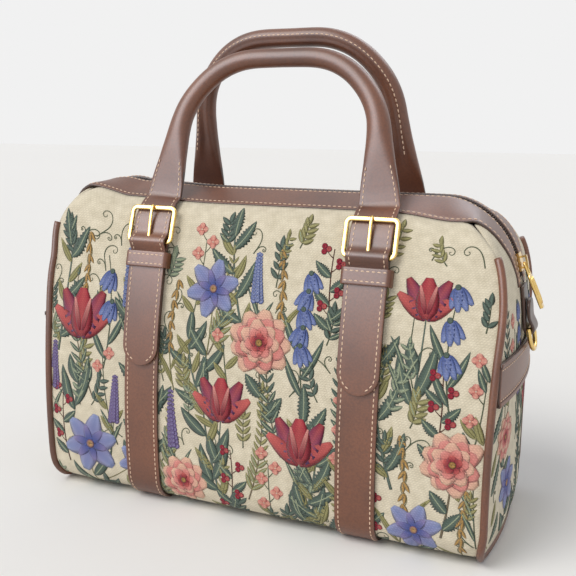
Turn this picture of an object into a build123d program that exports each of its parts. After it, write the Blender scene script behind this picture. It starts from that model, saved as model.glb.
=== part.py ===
# A soft tapestry handbag with leather trim, two rolled handles on prong buckles and a zip over the top.
# Millimetres. X runs along the bag, -Y is the front, Z is up, and Z = 0 is the underside of the two sewn straps.
import os
from math import cos, pi, radians, sin, sqrt

from build123d import *

# The body, measured over the cloth
bag_width = 300
bag_height = 208
base_depth = 125
shoulder_depth = 77
shoulder_drop = 12.5
side_bulge = 11.4
end_bulge = 7
ridge_width = 10
bottom_radius = 18
shoulder_radius = 25
ridge_radius = 14
corner_radius = 50
corner_lean = 14
end_radius = 200

# Cloth, leather and the gaps left between sewn layers
cloth = 1.6
lining_cloth = 0.6
leather = 2.0
layer_gap = 0.3
joint_gap = 0.35

# Straps sewn round the body, and the handle ends buckled over them
strap_width = 25
strap_spacing = 148
strap_end_height = 190
handle_end_width = 26
tip_height = 96
flex_distance = 23
toe_distance = 34.5
heel_distance = 54.5
keeper_distance = 66
keeper_height = 10
keeper_wall = 1.8
keeper_play = 0.6
strap_bend = 1.5
skive_radius = 3.2
skive_rise = 1.8

# Buckles, and the holes of the strap for their prongs
buckle_width = 34
buckle_bar = 3.0
buckle_thickness = 2.2
buckle_corner = 4
buckle_chamfer = 0.6
toe_play = 0.7
prong_width = 2.4
prong_thickness = 1.4
prong_lift = 0.5
eye_wall = 0.7
eye_play = 0.15
hole_radius = 1.3
hole_distances = (29, 77)

# Handles
tube_radius = 6.5
tube_wall = 1.8
handle_spread = 74
handle_flare = 45
handle_shoulder = 67
handle_crown = 40
handle_shoulder_drop = 31
handle_bend = 48
handle_rise = {"front": 92, "back": 104}
handle_lean = {"front": 16, "back": 12}

# Top bands and zip
band_seam = 57
band_proud = 0.9
band_opening = 11
zip_end_height = 157
zip_end_width = 26
tape_width = 26
tape_thickness = 0.5
coil_width = 5.8
coil_gap = 1.3
coil_thickness = 1.5
coil_proud = 0.6

# Slider and pull
slider_width = 9.2
slider_arc = 12
slider_plate = 1.2
slider_play = 0.6
slider_cheek = 0.7
post_arc = 5
bail_width = 3
bail_wire = 1.1
bail_height = 3.6
bail_arc = 8.2
pull_width = 8
pull_length = 22
pull_thickness = 1.8
pull_lean = 24
pull_wire = 1.5
pull_eye_play = 1.2
pull_eye_drop = 6.5
pull_rib = 0.6

# Ends: piping, leather band, tab and ring
piping_radius = 2.25
piping_height = 179
end_band_bottom = 98
end_band_height = 25
tab_width = 16.4
ring_wire = 2.8
ring_width = 20
ring_drop = 13
ring_lean = 12
ring_above_band = 8
tab_lap = 8

# The stiffener that lies in the bottom of the lining
board_thickness = 2.0
board_length = 282
board_depth = 88
board_corner = 12

# Swept round sections are drawn with this many flats, and those inside the handles with fewer
wire_flats = 10
hidden_flats = 6

sides = {"left": -1, "right": 1}
faces = {"front": -1, "back": 1}

strap_layer = leather + layer_gap
base_z = strap_layer
corner_z = bag_height - corner_radius
shoulder_z = bag_height - shoulder_drop
end_x = bag_width / 2 + end_bulge
corner_start_x = end_x - end_radius * (1 - cos(radians(corner_lean)))
corner_x = corner_start_x - corner_radius * cos(radians(corner_lean))
corner_start_z = corner_z + corner_radius * sin(radians(corner_lean))
lean_start_z = corner_start_z - end_radius * sin(radians(corner_lean))


def mirrored_pairs(points):
    return [(-x, z) for x, z in reversed(points)]


def side_face():
    """Section across the bag: flat base, bowed sides, sloping shoulders and a narrow ridge."""
    base, shoulder, ridge = base_depth / 2, shoulder_depth / 2, ridge_width / 2
    edges = [
        Line((-base, base_z), (base, base_z)),
        SagittaArc((base, base_z), (shoulder, shoulder_z), -side_bulge),
        Line((shoulder, shoulder_z), (ridge, bag_height)),
        Line((ridge, bag_height), (-ridge, bag_height)),
        Line((-ridge, bag_height), (-shoulder, shoulder_z)),
        SagittaArc((-shoulder, shoulder_z), (-base, base_z), -side_bulge),
    ]
    face = make_face(edges)
    for height, radius in (
        (base_z, bottom_radius),
        (shoulder_z, shoulder_radius),
        (bag_height, ridge_radius),
    ):
        corners = face.vertices().filter_by_position(Axis.Y, height - 0.01, height + 0.01)
        face = fillet(corners, radius)
    return face


def circle_point(centre, radius, degrees):
    return (centre[0] + radius * cos(radians(degrees)), centre[1] + radius * sin(radians(degrees)))


def front_face():
    """Outline along the bag: upright ends that lean in a little, then round top corners."""
    lean_centre = (end_x - end_radius, lean_start_z)
    corner_centre = (corner_x, corner_z)
    lean_middle = circle_point(lean_centre, end_radius, corner_lean / 2)
    corner_middle = circle_point(corner_centre, corner_radius, (corner_lean + 90) / 2)
    start, turn, top = (end_x, lean_start_z), (corner_start_x, corner_start_z), (corner_x, bag_height)
    edges = [
        Line((-end_x, base_z), (end_x, base_z)),
        Line((end_x, base_z), start),
        ThreePointArc(start, lean_middle, turn),
        ThreePointArc(turn, corner_middle, top),
        Line(top, (-top[0], top[1])),
        ThreePointArc((-top[0], top[1]), (-corner_middle[0], corner_middle[1]), (-turn[0], turn[1])),
        ThreePointArc((-turn[0], turn[1]), (-lean_middle[0], lean_middle[1]), (-start[0], start[1])),
        Line((-start[0], start[1]), (-end_x, base_z)),
    ]
    return make_face(edges)


def plan_face():
    """Outline from above: bowed ends, wider than the bag in depth so that it trims only the ends."""
    widest = base_depth / 2 + side_bulge / 3
    bow = (widest**2 + end_bulge**2) / (2 * end_bulge)
    reach = base_depth / 2 + side_bulge + 2
    corner = end_x - (bow - sqrt(bow**2 - reach**2))
    edges = [
        Line((-corner, -reach), (corner, -reach)),
        ThreePointArc((corner, -reach), (end_x, 0), (corner, reach)),
        Line((corner, reach), (-corner, reach)),
        ThreePointArc((-corner, reach), (-end_x, 0), (-corner, -reach)),
    ]
    return make_face(edges)


side_section = side_face()
front_section = front_face()
plan_section = plan_face()
made_solids = {}


def grown(face, amount):
    return face if amount == 0 else offset(face, amount, kind=Kind.INTERSECTION)


def prism_across(amount):
    """The side section, grown outwards, as a long prism along X."""
    return extrude(Plane.YZ * grown(side_section, amount), bag_width, both=True)


def body_solid(amount):
    """The whole body with every surface moved out by the amount, or in where it is negative."""
    if amount not in made_solids:
        along = extrude(Plane.XZ * grown(front_section, amount), base_depth, both=True)
        above = Pos(0, 0, -bag_height / 2) * extrude(grown(plan_section, amount), bag_height * 2)
        made_solids[amount] = prism_across(amount) & along & above
    return made_solids[amount]


def shell(outer, inner):
    return body_solid(outer) - body_solid(inner)


def span(x, y, z):
    """A box from three pairs of limits."""
    size = [limit[1] - limit[0] for limit in (x, y, z)]
    centre = [(limit[0] + limit[1]) / 2 for limit in (x, y, z)]
    return Pos(*centre) * Box(*size)


def zip_zone(side_gap):
    """The strip of the body that the top bands cover: over the top, and narrowing down each end."""
    seam = band_seam / 2 + side_gap
    end = zip_end_width / 2 + side_gap
    low, bend, wide = zip_end_height - side_gap, corner_z + 5, shoulder_z + 0.5
    half = [(end, low), (end, bend), (seam - 4, bend + 20), (seam, wide), (seam, bag_height * 1.2)]
    outline = Polyline(half + mirrored_pairs(half), close=True)
    return extrude(Plane.YZ * make_face(outline), bag_width, both=True)


def strip(low, high, y, bottom):
    """One side of the zip, between two depths under the surface, cut square at its two ends."""
    long = bag_width
    return shell(high, low) & span((-long, long), y, (bottom, bag_height * 1.2))


def face_path():
    """The back half of the side section, from the ridge down to the base."""
    edges = side_section.edges().filter_by(lambda edge: edge.center().X > ridge_width / 2)
    return Wire(edges)


body_line = face_path()
line_is_down = body_line.position_at(0).Y > body_line.position_at(1).Y


def on_body(distance, height):
    """A point of the section, given its distance down from the ridge and its height over the cloth."""
    along = distance if line_is_down else body_line.length - distance
    point = body_line.position_at(along, position_mode=PositionMode.LENGTH)
    tangent = body_line.tangent_at(along, position_mode=PositionMode.LENGTH)
    outward = Vector(tangent.Y, -tangent.X)
    if outward.Y < 0 and distance < heel_distance or outward.X < 0:
        outward = -outward
    return (point.X + outward.X * height, point.Y + outward.Y * height)


def drawn_section(points_out, points_in):
    """A face between two lines of the section, each with its corners rounded."""
    outer = FilletPolyline(points_out, radius=strap_bend)
    inner = FilletPolyline(points_in, radius=strap_bend)
    ends = [Line(outer @ 1, inner @ 1), Line(inner @ 0, outer @ 0)]
    return make_face([*outer.edges(), *inner.edges(), *ends])


def across(face, width):
    return extrude(Plane.YZ * face, width / 2, both=True)


def rounded_outline(width, low, high, round_low):
    """A strap's outline seen from the front, round at one end and square at the other."""
    radius = width / 2
    centre = low + radius if round_low else high - radius
    square = span((-radius, radius), (0, bag_width), (centre, high) if round_low else (low, centre))
    disc = Pos(0, bag_width / 2, centre) * Rot(90, 0, 0) * Cylinder(radius, bag_width)
    return square + disc


heel_radius = buckle_thickness / 2
eye_radius = heel_radius + eye_play + eye_wall
strap_top = strap_layer
under_strap = strap_top + layer_gap
over_strap = under_strap + leather
flex_height = under_strap + leather / 2
heel_height = strap_top + layer_gap + eye_radius
toe_height = over_strap + toe_play + buckle_thickness / 2
over_heel = heel_height + eye_radius + layer_gap
flex_point = on_body(flex_distance, flex_height)
flex_radius = leather / 2 + 0.6


def largest(shape):
    return shape.solids().sort_by(SortBy.VOLUME)[-1]


def make_wrap():
    wrap = shell(0, -cloth) - prism_across(-cloth) - zip_zone(layer_gap)
    for side in sides.values():
        wrap -= piping_sweep(side, layer_gap)
    return largest(wrap)


def piping_sweep(side, extra):
    """The corded edge as a full ring round the end, cut off level at its two upper ends."""
    line = offset(side_section, piping_radius / 3).face().outer_wire()
    line = Pos(side * (bag_width / 2 + 1), 0, 0) * (Plane.YZ * line)
    start = Plane(origin=line @ 0, z_dir=line % 0)
    ring = sweep(start * RegularPolygon(piping_radius + extra, wire_flats), line)
    return ring & span((-bag_width, bag_width), (-base_depth, base_depth), (-10, piping_height + extra))


def make_end_panel(side):
    inside = prism_across(-cloth - layer_gap)
    half = span((0, bag_width), (-base_depth, base_depth), (-10, bag_height * 1.2))
    panel = (shell(0, -cloth) & inside & mirror_to(side, half)) - zip_zone(layer_gap)
    return panel - piping_sweep(side, layer_gap)


def mirror_to(side, shape):
    return shape if side > 0 else mirror(shape, Plane.YZ)


def mirror_face(face, shape):
    return shape if face > 0 else mirror(shape, Plane.XZ)


def make_lining():
    outer = -cloth - 2 * layer_gap
    long = bag_width
    mouth = span((-long, long), (-zip_end_width / 2 + 5, zip_end_width / 2 - 5), (zip_end_height, bag_height * 1.2))
    return shell(outer, outer - lining_cloth) - mouth


def make_board():
    floor_z = base_z + cloth + 2 * layer_gap + lining_cloth + layer_gap
    board = extrude(RectangleRounded(board_length, board_depth, board_corner), board_thickness)
    return Pos(0, 0, floor_z) * board


def make_top_band(face):
    zone = zip_zone(0)
    y = (band_opening / 2, base_depth)
    band = strip(-band_proud, band_proud, y, zip_end_height) & zone
    return mirror_face(face, band)


def make_tape(face):
    top = -band_proud - layer_gap
    tape = strip(top - tape_thickness, top, (coil_gap / 2, tape_width / 2), zip_end_height)
    return mirror_face(face, tape)


def make_coil(face):
    coil = strip(coil_proud - coil_thickness, coil_proud, (coil_gap / 2, coil_width / 2), zip_end_height + 3)
    return mirror_face(face, coil)


def sector(inner, outer, low, high, y):
    """A piece of a ring round the top corner's centre, between two angles and two depths in Y."""
    arms = [circle_point((corner_x, corner_z), outer * 2, angle) for angle in (low, high)]
    wedge = make_face(Polyline([(corner_x, corner_z), arms[0], arms[1]], close=True))
    ring = Pos(corner_x, corner_z) * (Circle(outer) - Circle(inner))
    width = y[1] - y[0]
    return Pos(0, (y[0] + y[1]) / 2, 0) * extrude(Plane.XZ * (ring & wedge), width / 2, both=True)


slider_low = corner_lean - slider_arc / 2
slider_high = corner_lean + slider_arc / 2
slider_inside = corner_radius + coil_proud + slider_play
slider_outside = slider_inside + slider_plate
bail_top = slider_outside + bail_height
pull_radius = slider_outside + (bail_height - bail_wire) / 2 + 0.25
pull_angle = corner_lean - 1.5
pull_point = circle_point((corner_x, corner_z), pull_radius, pull_angle)


def make_slider():
    half = slider_width / 2
    cheek_foot = slider_inside - slider_plate
    plate = sector(slider_inside, slider_outside, slider_low, slider_high, (-half, half))
    cheeks = [
        sector(cheek_foot, slider_inside, slider_low, slider_high, (-half, -half + slider_cheek)),
        sector(cheek_foot, slider_inside, slider_low, slider_high, (half - slider_cheek, half)),
    ]
    under = corner_radius - band_proud - layer_gap - tape_thickness - slider_play
    back_plate = sector(under - slider_plate, under, slider_low, slider_high, (-half + 0.4, half - 0.4))
    post_half = coil_gap / 2 - layer_gap
    post = sector(under, slider_inside, slider_high - post_arc, slider_high, (-post_half, post_half))
    low, high = pull_angle - 3.2, pull_angle - 3.2 + bail_arc
    bail = sector(slider_outside, bail_top, low, high, (-bail_width / 2, bail_width / 2))
    gap = sector(slider_outside, bail_top - bail_wire, low + bail_wire, high - bail_wire, (-bail_width, bail_width))
    return plate + cheeks[0] + cheeks[1] + back_plate + post + (bail - gap)


def make_pull():
    """A ribbed bar with an oblong eye; its eye's top bar runs through the slider's bail."""
    leg_x = (bail_width + pull_eye_play + pull_wire) / 2
    leg = pull_eye_drop + pull_wire / 2
    middle = -pull_eye_drop - pull_length / 2
    pull = Rot(0, 90, 0) * Cylinder(pull_wire / 2, 2 * leg_x)
    for side in sides.values():
        pull += Pos(side * leg_x, 0, -leg / 2) * Cylinder(pull_wire / 2, leg)
        pull += Pos(side * leg_x, 0, 0) * Sphere(pull_wire / 2)
    bar = Pos(0, 0, middle) * Box(pull_width, pull_thickness, pull_length)
    pull += fillet(bar.edges().filter_by(Axis.Y), pull_width / 4)
    for x in (-pull_width / 4, 0, pull_width / 4):
        pull += Pos(x, -pull_thickness / 2, middle) * Cylinder(pull_rib, pull_length - pull_width / 2)
    return Pos(pull_point[0], 0, pull_point[1]) * Rot(0, -pull_lean, 90) * pull


ring_z = end_band_bottom + end_band_height + ring_above_band
tab_inside = layer_gap
tab_bore = ring_wire / 2 + layer_gap
ring_x = end_x + tab_inside + leather + tab_bore


def make_tab(side):
    """A leather tab over the end of the zip, folded round the ring's straight bar and back over itself."""
    half = tab_width / 2
    y = (-half, half)
    first = shell(tab_inside + leather, tab_inside) & span((0, bag_width), y, (ring_z, zip_end_height - layer_gap))
    outer = tab_inside + 2 * leather + layer_gap
    second = shell(outer, outer - leather) & span((0, bag_width), y, (ring_z + leather, zip_end_height - tab_lap))
    loop = Cylinder(tab_bore + leather, tab_width) - Cylinder(tab_bore, tab_width * 2)
    loop = Pos(ring_x, 0, ring_z) * Rot(90, 0, 0) * loop
    web_x = (end_x + tab_inside + 0.4, ring_x + 1)
    web = span(web_x, y, (ring_z + tab_bore + 0.6, ring_z + tab_bore + leather + 1.5))
    return mirror_to(side, first + second + loop + web)


def make_ring(side):
    """A wire D: the bow as a swept round of many flats, and a round bar across its two ends."""
    radius, bend = ring_wire / 2, ring_width / 2
    straight = ring_drop - bend
    line = Line((bend, 0), (bend, -straight)) + Line((-bend, -straight), (-bend, 0))
    line += ThreePointArc((bend, -straight), (0, -straight - bend), (-bend, -straight))
    line = Plane.YZ * Wire(line.edges())
    start = Plane(origin=line @ 0, z_dir=line % 0)
    bow = sweep(start * RegularPolygon(radius, wire_flats), line)
    ring = bow + Rot(90, 0, 0) * Cylinder(radius, ring_width + ring_wire)
    placed = Pos(ring_x, 0, ring_z) * Rot(0, -ring_lean, 0) * ring
    return placed if side > 0 else Rot(0, 0, 180) * placed


def make_end_band(side):
    layer = shell(layer_gap + leather, layer_gap)
    height = (end_band_bottom, end_band_bottom + end_band_height)
    zone = span((corner_x, bag_width), (-base_depth, base_depth), height)
    inside = prism_across(-piping_radius - 1.2)
    return mirror_to(side, layer & zone & inside)


def make_strap(side):
    ring = grown(side_section, strap_layer) - grown(side_section, layer_gap)
    strap = across(ring, strap_width)
    half = rounded_outline(strap_width, -10, strap_end_height, round_low=False)
    outline = half + mirror(half, Plane.XZ)
    return Pos(side * strap_spacing / 2, 0, 0) * (strap & outline)


def tip_distance():
    """Distance down from the ridge to the height of the handle end's tip."""
    low, high = keeper_distance, body_line.length
    for _ in range(40):
        middle = (low + high) / 2
        if on_body(middle, 0)[1] > tip_height - 8:
            low = middle
        else:
            high = middle
    return low


def handle_end_heights():
    """Height of the handle strap's middle over the cloth, at distances down from the ridge."""
    rise = over_heel + leather / 2 - flex_height
    spread = keeper_distance - keeper_height / 2 - heel_distance
    over_buckle = [heel_distance + spread * quarter / 4 for quarter in range(-4, 5)]
    before, after = over_buckle[0] - flex_distance, tip_distance() - over_buckle[-1]
    steps = [flex_distance + before * share for share in (0, 0.2, 0.4, 0.6, 0.8)] + over_buckle
    steps += [over_buckle[-1] + after * share for share in (0.25, 0.5, 0.75, 1)]
    stations = []
    for distance in steps:
        away = min(abs(distance - heel_distance) / spread, 1)
        stations.append((distance, flex_height + rise * (1 + cos(pi * away)) / 2))
    return stations


def bar_point(distance, height):
    point = on_body(distance, height)
    return Vector(0, point[0], point[1])


toe_centre = bar_point(toe_distance, toe_height)
heel_centre = bar_point(heel_distance, heel_height)
bar_spacing = (toe_centre - heel_centre).length


def buckle_plane():
    """The plane of a back buckle's frame: its own Y runs down to the heel bar, its own Z faces out."""
    up = (toe_centre - heel_centre).normalized()
    return Plane(origin=(toe_centre + heel_centre) * 0.5, x_dir=(1, 0, 0), z_dir=up.cross(Vector(1, 0, 0)))


def make_buckle_frame():
    window_width = buckle_width - 2 * buckle_bar
    outer = RectangleRounded(buckle_width, bar_spacing + buckle_bar, buckle_corner)
    plate = extrude(outer, buckle_thickness / 2, both=True)
    plate = chamfer(plate.edges().group_by(Axis.Z)[-1], buckle_chamfer)
    frame = plate - Box(window_width, bar_spacing - buckle_bar, buckle_thickness * 2)
    heel = Pos(0, bar_spacing / 2, 0)
    square = heel * Box(window_width, buckle_bar * 1.2, buckle_thickness * 2)
    slim = heel * Rot(0, 90, 0) * Cylinder(heel_radius, window_width)
    return buckle_plane() * ((frame - square) + slim)


def prong_bar(extra):
    start = Vector(0, bar_spacing / 2, 0)
    over_toe = (buckle_thickness + prong_thickness) / 2 + prong_lift
    end = Vector(0, -bar_spacing / 2 - buckle_bar / 2, over_toe)
    run = end - start
    place = Plane(origin=(start + end) * 0.5, x_dir=(1, 0, 0), z_dir=run)
    bar = Box(prong_width + 2 * extra, prong_thickness + 2 * extra, run.length + 2 * extra)
    return buckle_plane() * (place * bar)


def make_prong():
    eye = Pos(heel_centre) * Rot(0, 90, 0) * Cylinder(eye_radius, prong_width)
    bore = Pos(heel_centre) * Rot(0, 90, 0) * Cylinder(heel_radius + eye_play, prong_width * 2)
    return (prong_bar(0) + eye) - bore


def make_keeper():
    near, far = keeper_distance - keeper_height / 2, keeper_distance + keeper_height / 2
    channel = over_strap + layer_gap
    outer = channel + keeper_wall
    half = handle_end_width / 2 + keeper_play
    block = [on_body(near, outer), on_body(far, outer), on_body(far, layer_gap), on_body(near, layer_gap)]
    hollow = [on_body(near - 3, channel), on_body(far + 3, channel), on_body(far + 3, -3), on_body(near - 3, -3)]
    solid = across(make_face(Polyline(block, close=True)), 2 * (half + keeper_wall))
    return solid - across(make_face(Polyline(hollow, close=True)), 2 * half)


def prong_hole(distance):
    """A punch through the handle strap, square to it."""
    inside, outside = bar_point(distance, 0), bar_point(distance, over_heel + 2 * leather)
    way = outside - inside
    return Plane(origin=(inside + outside) * 0.5, z_dir=way) * Cylinder(hole_radius, way.length)


def make_handle_end():
    stations = handle_end_heights()
    out = [on_body(d, h + leather / 2) for d, h in stations]
    inn = [on_body(d, h - leather / 2) for d, h in stations]
    strap = across(drawn_section(out, inn), handle_end_width)
    strap &= rounded_outline(handle_end_width, tip_height, bag_height * 1.2, round_low=True)
    for height, radius in ((0, flex_radius + joint_gap), (skive_rise, skive_radius)):
        centre = bar_point(flex_distance, flex_height + height)
        strap -= Pos(centre) * Rot(0, 90, 0) * Cylinder(radius, handle_end_width * 2)
    for distance in hole_distances:
        strap -= prong_hole(distance)
    return strap - prong_bar(layer_gap)


def placed(shape, face, side):
    return Pos(side * strap_spacing / 2, 0, 0) * mirror_face(face, shape)


def handle_plane(face_name):
    """The plane of a handle: its own X along the bag, its own Y up the handle, leaning to the middle."""
    lean = radians(handle_lean[face_name])
    out = faces[face_name]
    up = Vector(0, -out * sin(lean), cos(lean))
    return Plane(origin=(0, out * flex_point[0], flex_point[1]), x_dir=(1, 0, 0), z_dir=Vector(1, 0, 0).cross(up))


def handle_route(face_name):
    rise = handle_rise[face_name]
    foot = Vector(handle_spread, 0)
    shoulder = Vector(handle_shoulder, rise - handle_shoulder_drop)
    crown = Vector(handle_crown, rise)
    start = foot + (shoulder - foot).normalized() * handle_flare
    return foot, start, shoulder, crown


def handle_tube(face_name, section):
    """A section swept along the handle, from the top of one leg to the other."""
    _, start, shoulder, crown = handle_route(face_name)
    points = [(point.X, point.Y) for point in (start, shoulder, crown)]
    line = FilletPolyline(points + mirrored_pairs(points), radius=handle_bend)
    place = Plane(origin=line @ 0, z_dir=line % 0)
    return sweep(place * section, line)


def handle_leg(face_name):
    """The flat end of the leather rolling up into the tube, as a loft of three ovals."""
    foot, start, _, _ = handle_route(face_name)
    up = (start - foot).normalized()
    wide, flat = handle_end_width / 2 - layer_gap, leather / 2
    steps = [(0, wide, flat), (0.4, wide * 0.83, flat * 2.6)]
    ovals = []
    for share, across_half, deep_half in steps:
        place = Plane(origin=foot + up * handle_flare * share, x_dir=(0, 0, 1), z_dir=up)
        ovals.append(place * Ellipse(deep_half, across_half))
    ovals.append(Plane(origin=start, x_dir=(0, 0, 1), z_dir=up) * Circle(tube_radius))
    leg = loft(ovals)
    knuckle = Pos(foot) * Rot(0, 90, 0) * Cylinder(flex_radius, 2 * wide)
    return leg + knuckle


def make_handle(face_name):
    bore = RegularPolygon(tube_radius - tube_wall, hidden_flats)
    tube = handle_tube(face_name, Circle(tube_radius)) - handle_tube(face_name, bore)
    leg = handle_leg(face_name)
    handle = tube + leg + mirror(leg, Plane.YZ)
    return handle_plane(face_name) * handle


def make_core(face_name):
    core = RegularPolygon(tube_radius - tube_wall - layer_gap, hidden_flats)
    return handle_plane(face_name) * handle_tube(face_name, core)


def all_parts():
    parts = {
        "tapestry_wrap": make_wrap(),
        "lining": make_lining(),
        "base_board": make_board(),
        "zip_slider": make_slider(),
        "zip_pull": make_pull(),
    }
    for side_name, side in sides.items():
        parts[f"end_panel_{side_name}"] = make_end_panel(side)
        parts[f"piping_{side_name}"] = piping_sweep(side, 0)
        parts[f"end_band_{side_name}"] = make_end_band(side)
        parts[f"end_tab_{side_name}"] = make_tab(side)
        parts[f"d_ring_{side_name}"] = make_ring(side)
        parts[f"strap_{side_name}"] = make_strap(side)
    fittings = {
        "buckle_frame": make_buckle_frame(),
        "buckle_prong": make_prong(),
        "keeper": make_keeper(),
        "handle_end": make_handle_end(),
    }
    for face_name, face in faces.items():
        parts[f"top_band_{face_name}"] = make_top_band(face)
        parts[f"zip_tape_{face_name}"] = make_tape(face)
        parts[f"zip_coil_{face_name}"] = make_coil(face)
        parts[f"handle_{face_name}"] = make_handle(face_name)
        parts[f"handle_core_{face_name}"] = make_core(face_name)
        for side_name, side in sides.items():
            for name, shape in fittings.items():
                parts[f"{name}_{face_name}_{side_name}"] = placed(shape, face, side)
    return parts


os.makedirs("parts", exist_ok=True)
for node, shape in all_parts().items():
    export_step(shape, f"parts/{node}.step")
print(f"handle hinge at y {flex_point[0]:.2f}, z {flex_point[1]:.2f}")
print(f"slider hinge at x {corner_x:.2f}, z {corner_z:.2f}")
print(f"pull hinge at x {pull_point[0]:.2f}, z {pull_point[1]:.2f}")
print(f"ring hinge at x {ring_x:.2f}, z {ring_z:.2f}")
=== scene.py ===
import math
import random

import bmesh
import bpy
import numpy as np
from mathutils import Matrix, Vector


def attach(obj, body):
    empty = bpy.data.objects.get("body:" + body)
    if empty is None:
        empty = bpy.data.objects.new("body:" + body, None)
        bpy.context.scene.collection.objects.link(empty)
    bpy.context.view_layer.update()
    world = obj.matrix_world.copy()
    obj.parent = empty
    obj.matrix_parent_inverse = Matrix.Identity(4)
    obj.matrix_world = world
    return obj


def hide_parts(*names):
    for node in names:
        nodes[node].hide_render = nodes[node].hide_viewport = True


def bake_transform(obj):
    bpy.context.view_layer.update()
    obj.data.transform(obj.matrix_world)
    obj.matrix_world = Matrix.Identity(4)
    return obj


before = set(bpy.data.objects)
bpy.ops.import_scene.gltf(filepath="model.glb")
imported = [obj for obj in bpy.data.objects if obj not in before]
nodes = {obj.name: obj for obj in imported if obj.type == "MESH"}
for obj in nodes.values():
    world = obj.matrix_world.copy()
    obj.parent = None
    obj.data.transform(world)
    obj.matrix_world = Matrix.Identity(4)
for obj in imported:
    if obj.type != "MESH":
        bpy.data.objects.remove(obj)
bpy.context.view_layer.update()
print("frame loaded:", len(nodes), "nodes")

# every size below is in millimetres and becomes metres where a mesh is made
mm = 0.001
sides = (("left", -1), ("right", 1))
bagFaces = (("front", -1), ("back", 1))
acrossBag, alongY = np.array([1.0, 0, 0]), np.array([0, 1.0, 0])

# the bag's own form, as the frame has it
body = {
    "baseZ": 2.3, "topZ": 208.0, "baseHalf": 62.5, "shoulderHalf": 38.5, "shoulderZ": 195.5,
    "sideBulge": 11.4, "ridgeHalf": 5.0, "bottomRadius": 18.0, "shoulderRadius": 25.0, "ridgeRadius": 14.0,
    "endX": 157.0, "cornerX": 102.54, "cornerZ": 158.0, "cornerRadius": 50.0,
    "leanDegrees": 14.0, "leanRadius": 200.0,
    "bowRadius": 317.5, "bottomTuck": 5.5, "tuckHeight": 24.0,
}


# ---- outline helpers

def arcPoints(centre, radius, start, stop, count):
    angles = np.linspace(start, stop, count)
    return np.stack([centre[0] + radius * np.cos(angles), centre[1] + radius * np.sin(angles)], 1)


def table(points):
    steps = np.hypot(*np.diff(points, axis=0).T)
    keep = np.r_[True, steps > 1e-6]
    points = points[keep]
    length = np.r_[0, np.cumsum(np.hypot(*np.diff(points, axis=0).T))]
    even = np.linspace(0, length[-1], int(length[-1] * 4))
    return even, np.interp(even, length, points[:, 0]), np.interp(even, length, points[:, 1])


def sectionTable():
    b = body
    low, high = np.array([b["baseHalf"], b["baseZ"]]), np.array([b["shoulderHalf"], b["shoulderZ"]])
    chord = high - low
    length = np.hypot(*chord)
    bow = b["sideBulge"]
    radius = length**2 / (8 * bow) + bow / 2
    outward = np.array([chord[1], -chord[0]]) / length
    centre = (low + high) / 2 - outward * (radius - bow)
    # bottom corner: tangent to the floor line and inside the bowed side
    r = b["bottomRadius"]
    z = b["baseZ"] + r
    bottom = np.array([centre[0] + math.sqrt((radius - r) ** 2 - (z - centre[1]) ** 2), z])
    turn = math.atan2(bottom[1] - centre[1], bottom[0] - centre[0])
    # shoulder corner: tangent to the bowed side and the slope up to the ridge
    ridge = np.array([b["ridgeHalf"], b["topZ"]])
    slope = ridge - high
    slope /= np.hypot(*slope)
    inward = np.array([-slope[1], slope[0]])
    r2 = b["shoulderRadius"]
    start = high + inward * r2 - centre
    along = -(start @ slope) + math.sqrt((start @ slope) ** 2 - start @ start + (radius - r2) ** 2)
    shoulder = centre + start + slope * min(along, -2 * (start @ slope) - along, key=abs)
    turn2 = math.atan2(shoulder[1] - centre[1], shoulder[0] - centre[0])
    up = math.atan2(-inward[1], -inward[0])
    r3 = b["ridgeRadius"]
    reach = r3 * math.tan((math.pi / 2 - up) / 2)
    ridgeEnd = ridge - slope * reach
    ridgeCentre = ridgeEnd + inward * r3
    parts = [
        np.array([[0, b["topZ"]]]),
        arcPoints(ridgeCentre, r3, math.pi / 2, up, 20),
        arcPoints(shoulder, r2, up, turn2, 60),
        arcPoints(centre, radius, turn2, turn, 200),
        arcPoints(bottom, r, turn, -math.pi / 2, 60),
        np.array([[0, b["baseZ"]]]),
    ]
    return table(np.concatenate(parts)), b["ridgeHalf"] - reach + r3 * (math.pi / 2 - up)


(secLen, secY, secZ), ridgeLength = sectionTable()
halfLength = secLen[-1]


def outlineTable():
    b = body
    lean = math.radians(b["leanDegrees"])
    corner, radius = (b["cornerX"], b["cornerZ"]), b["cornerRadius"]
    turn = np.array([corner[0] + radius * math.cos(lean), corner[1] + radius * math.sin(lean)])
    leanCentre = (b["endX"] - b["leanRadius"], turn[1] - b["leanRadius"] * math.sin(lean))
    z = np.linspace(leanCentre[1], b["baseZ"], 200)
    tuck = np.clip(1 - (z - b["baseZ"]) / b["tuckHeight"], 0, 1) ** 2 * b["bottomTuck"]
    parts = [
        np.array([[0, b["topZ"]]]),
        arcPoints(corner, radius, math.pi / 2, lean, 80),
        arcPoints(leanCentre, b["leanRadius"], lean, 0, 40),
        np.stack([b["endX"] - tuck, z], 1),
    ]
    return table(np.concatenate(parts))


outLen, outX, outZ = outlineTable()
outlineLength = outLen[-1]


def endAt(z):
    return np.interp(z, outZ[::-1], outX[::-1])


def halfDepthAt(z):
    return np.interp(z, secZ[::-1], secY[::-1])


def smooth(value, low, high):
    t = np.clip((value - low) / (high - low), 0, 1)
    return t * t * (3 - 2 * t)


def unit(vectors):
    return vectors / np.linalg.norm(vectors, axis=-1, keepdims=True)


def eased(path, rounds):
    for _ in range(rounds):
        path[1:-1] = (path[:-2] + 2 * path[1:-1] + path[2:]) / 4
    return path


def folded(s):
    # the distance from the ridge, on whichever face s has come to
    return np.where(s < halfLength, s, 2 * halfLength - s)


def sFromZ(z):
    return float(np.interp(z, secZ[::-1], secLen[::-1]))


def wFromZ(z):
    return float(np.interp(z, outZ[::-1], outLen[::-1]))


def asArrays(*values):
    return np.broadcast_arrays(*(np.asarray(v, float) for v in values))


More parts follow.
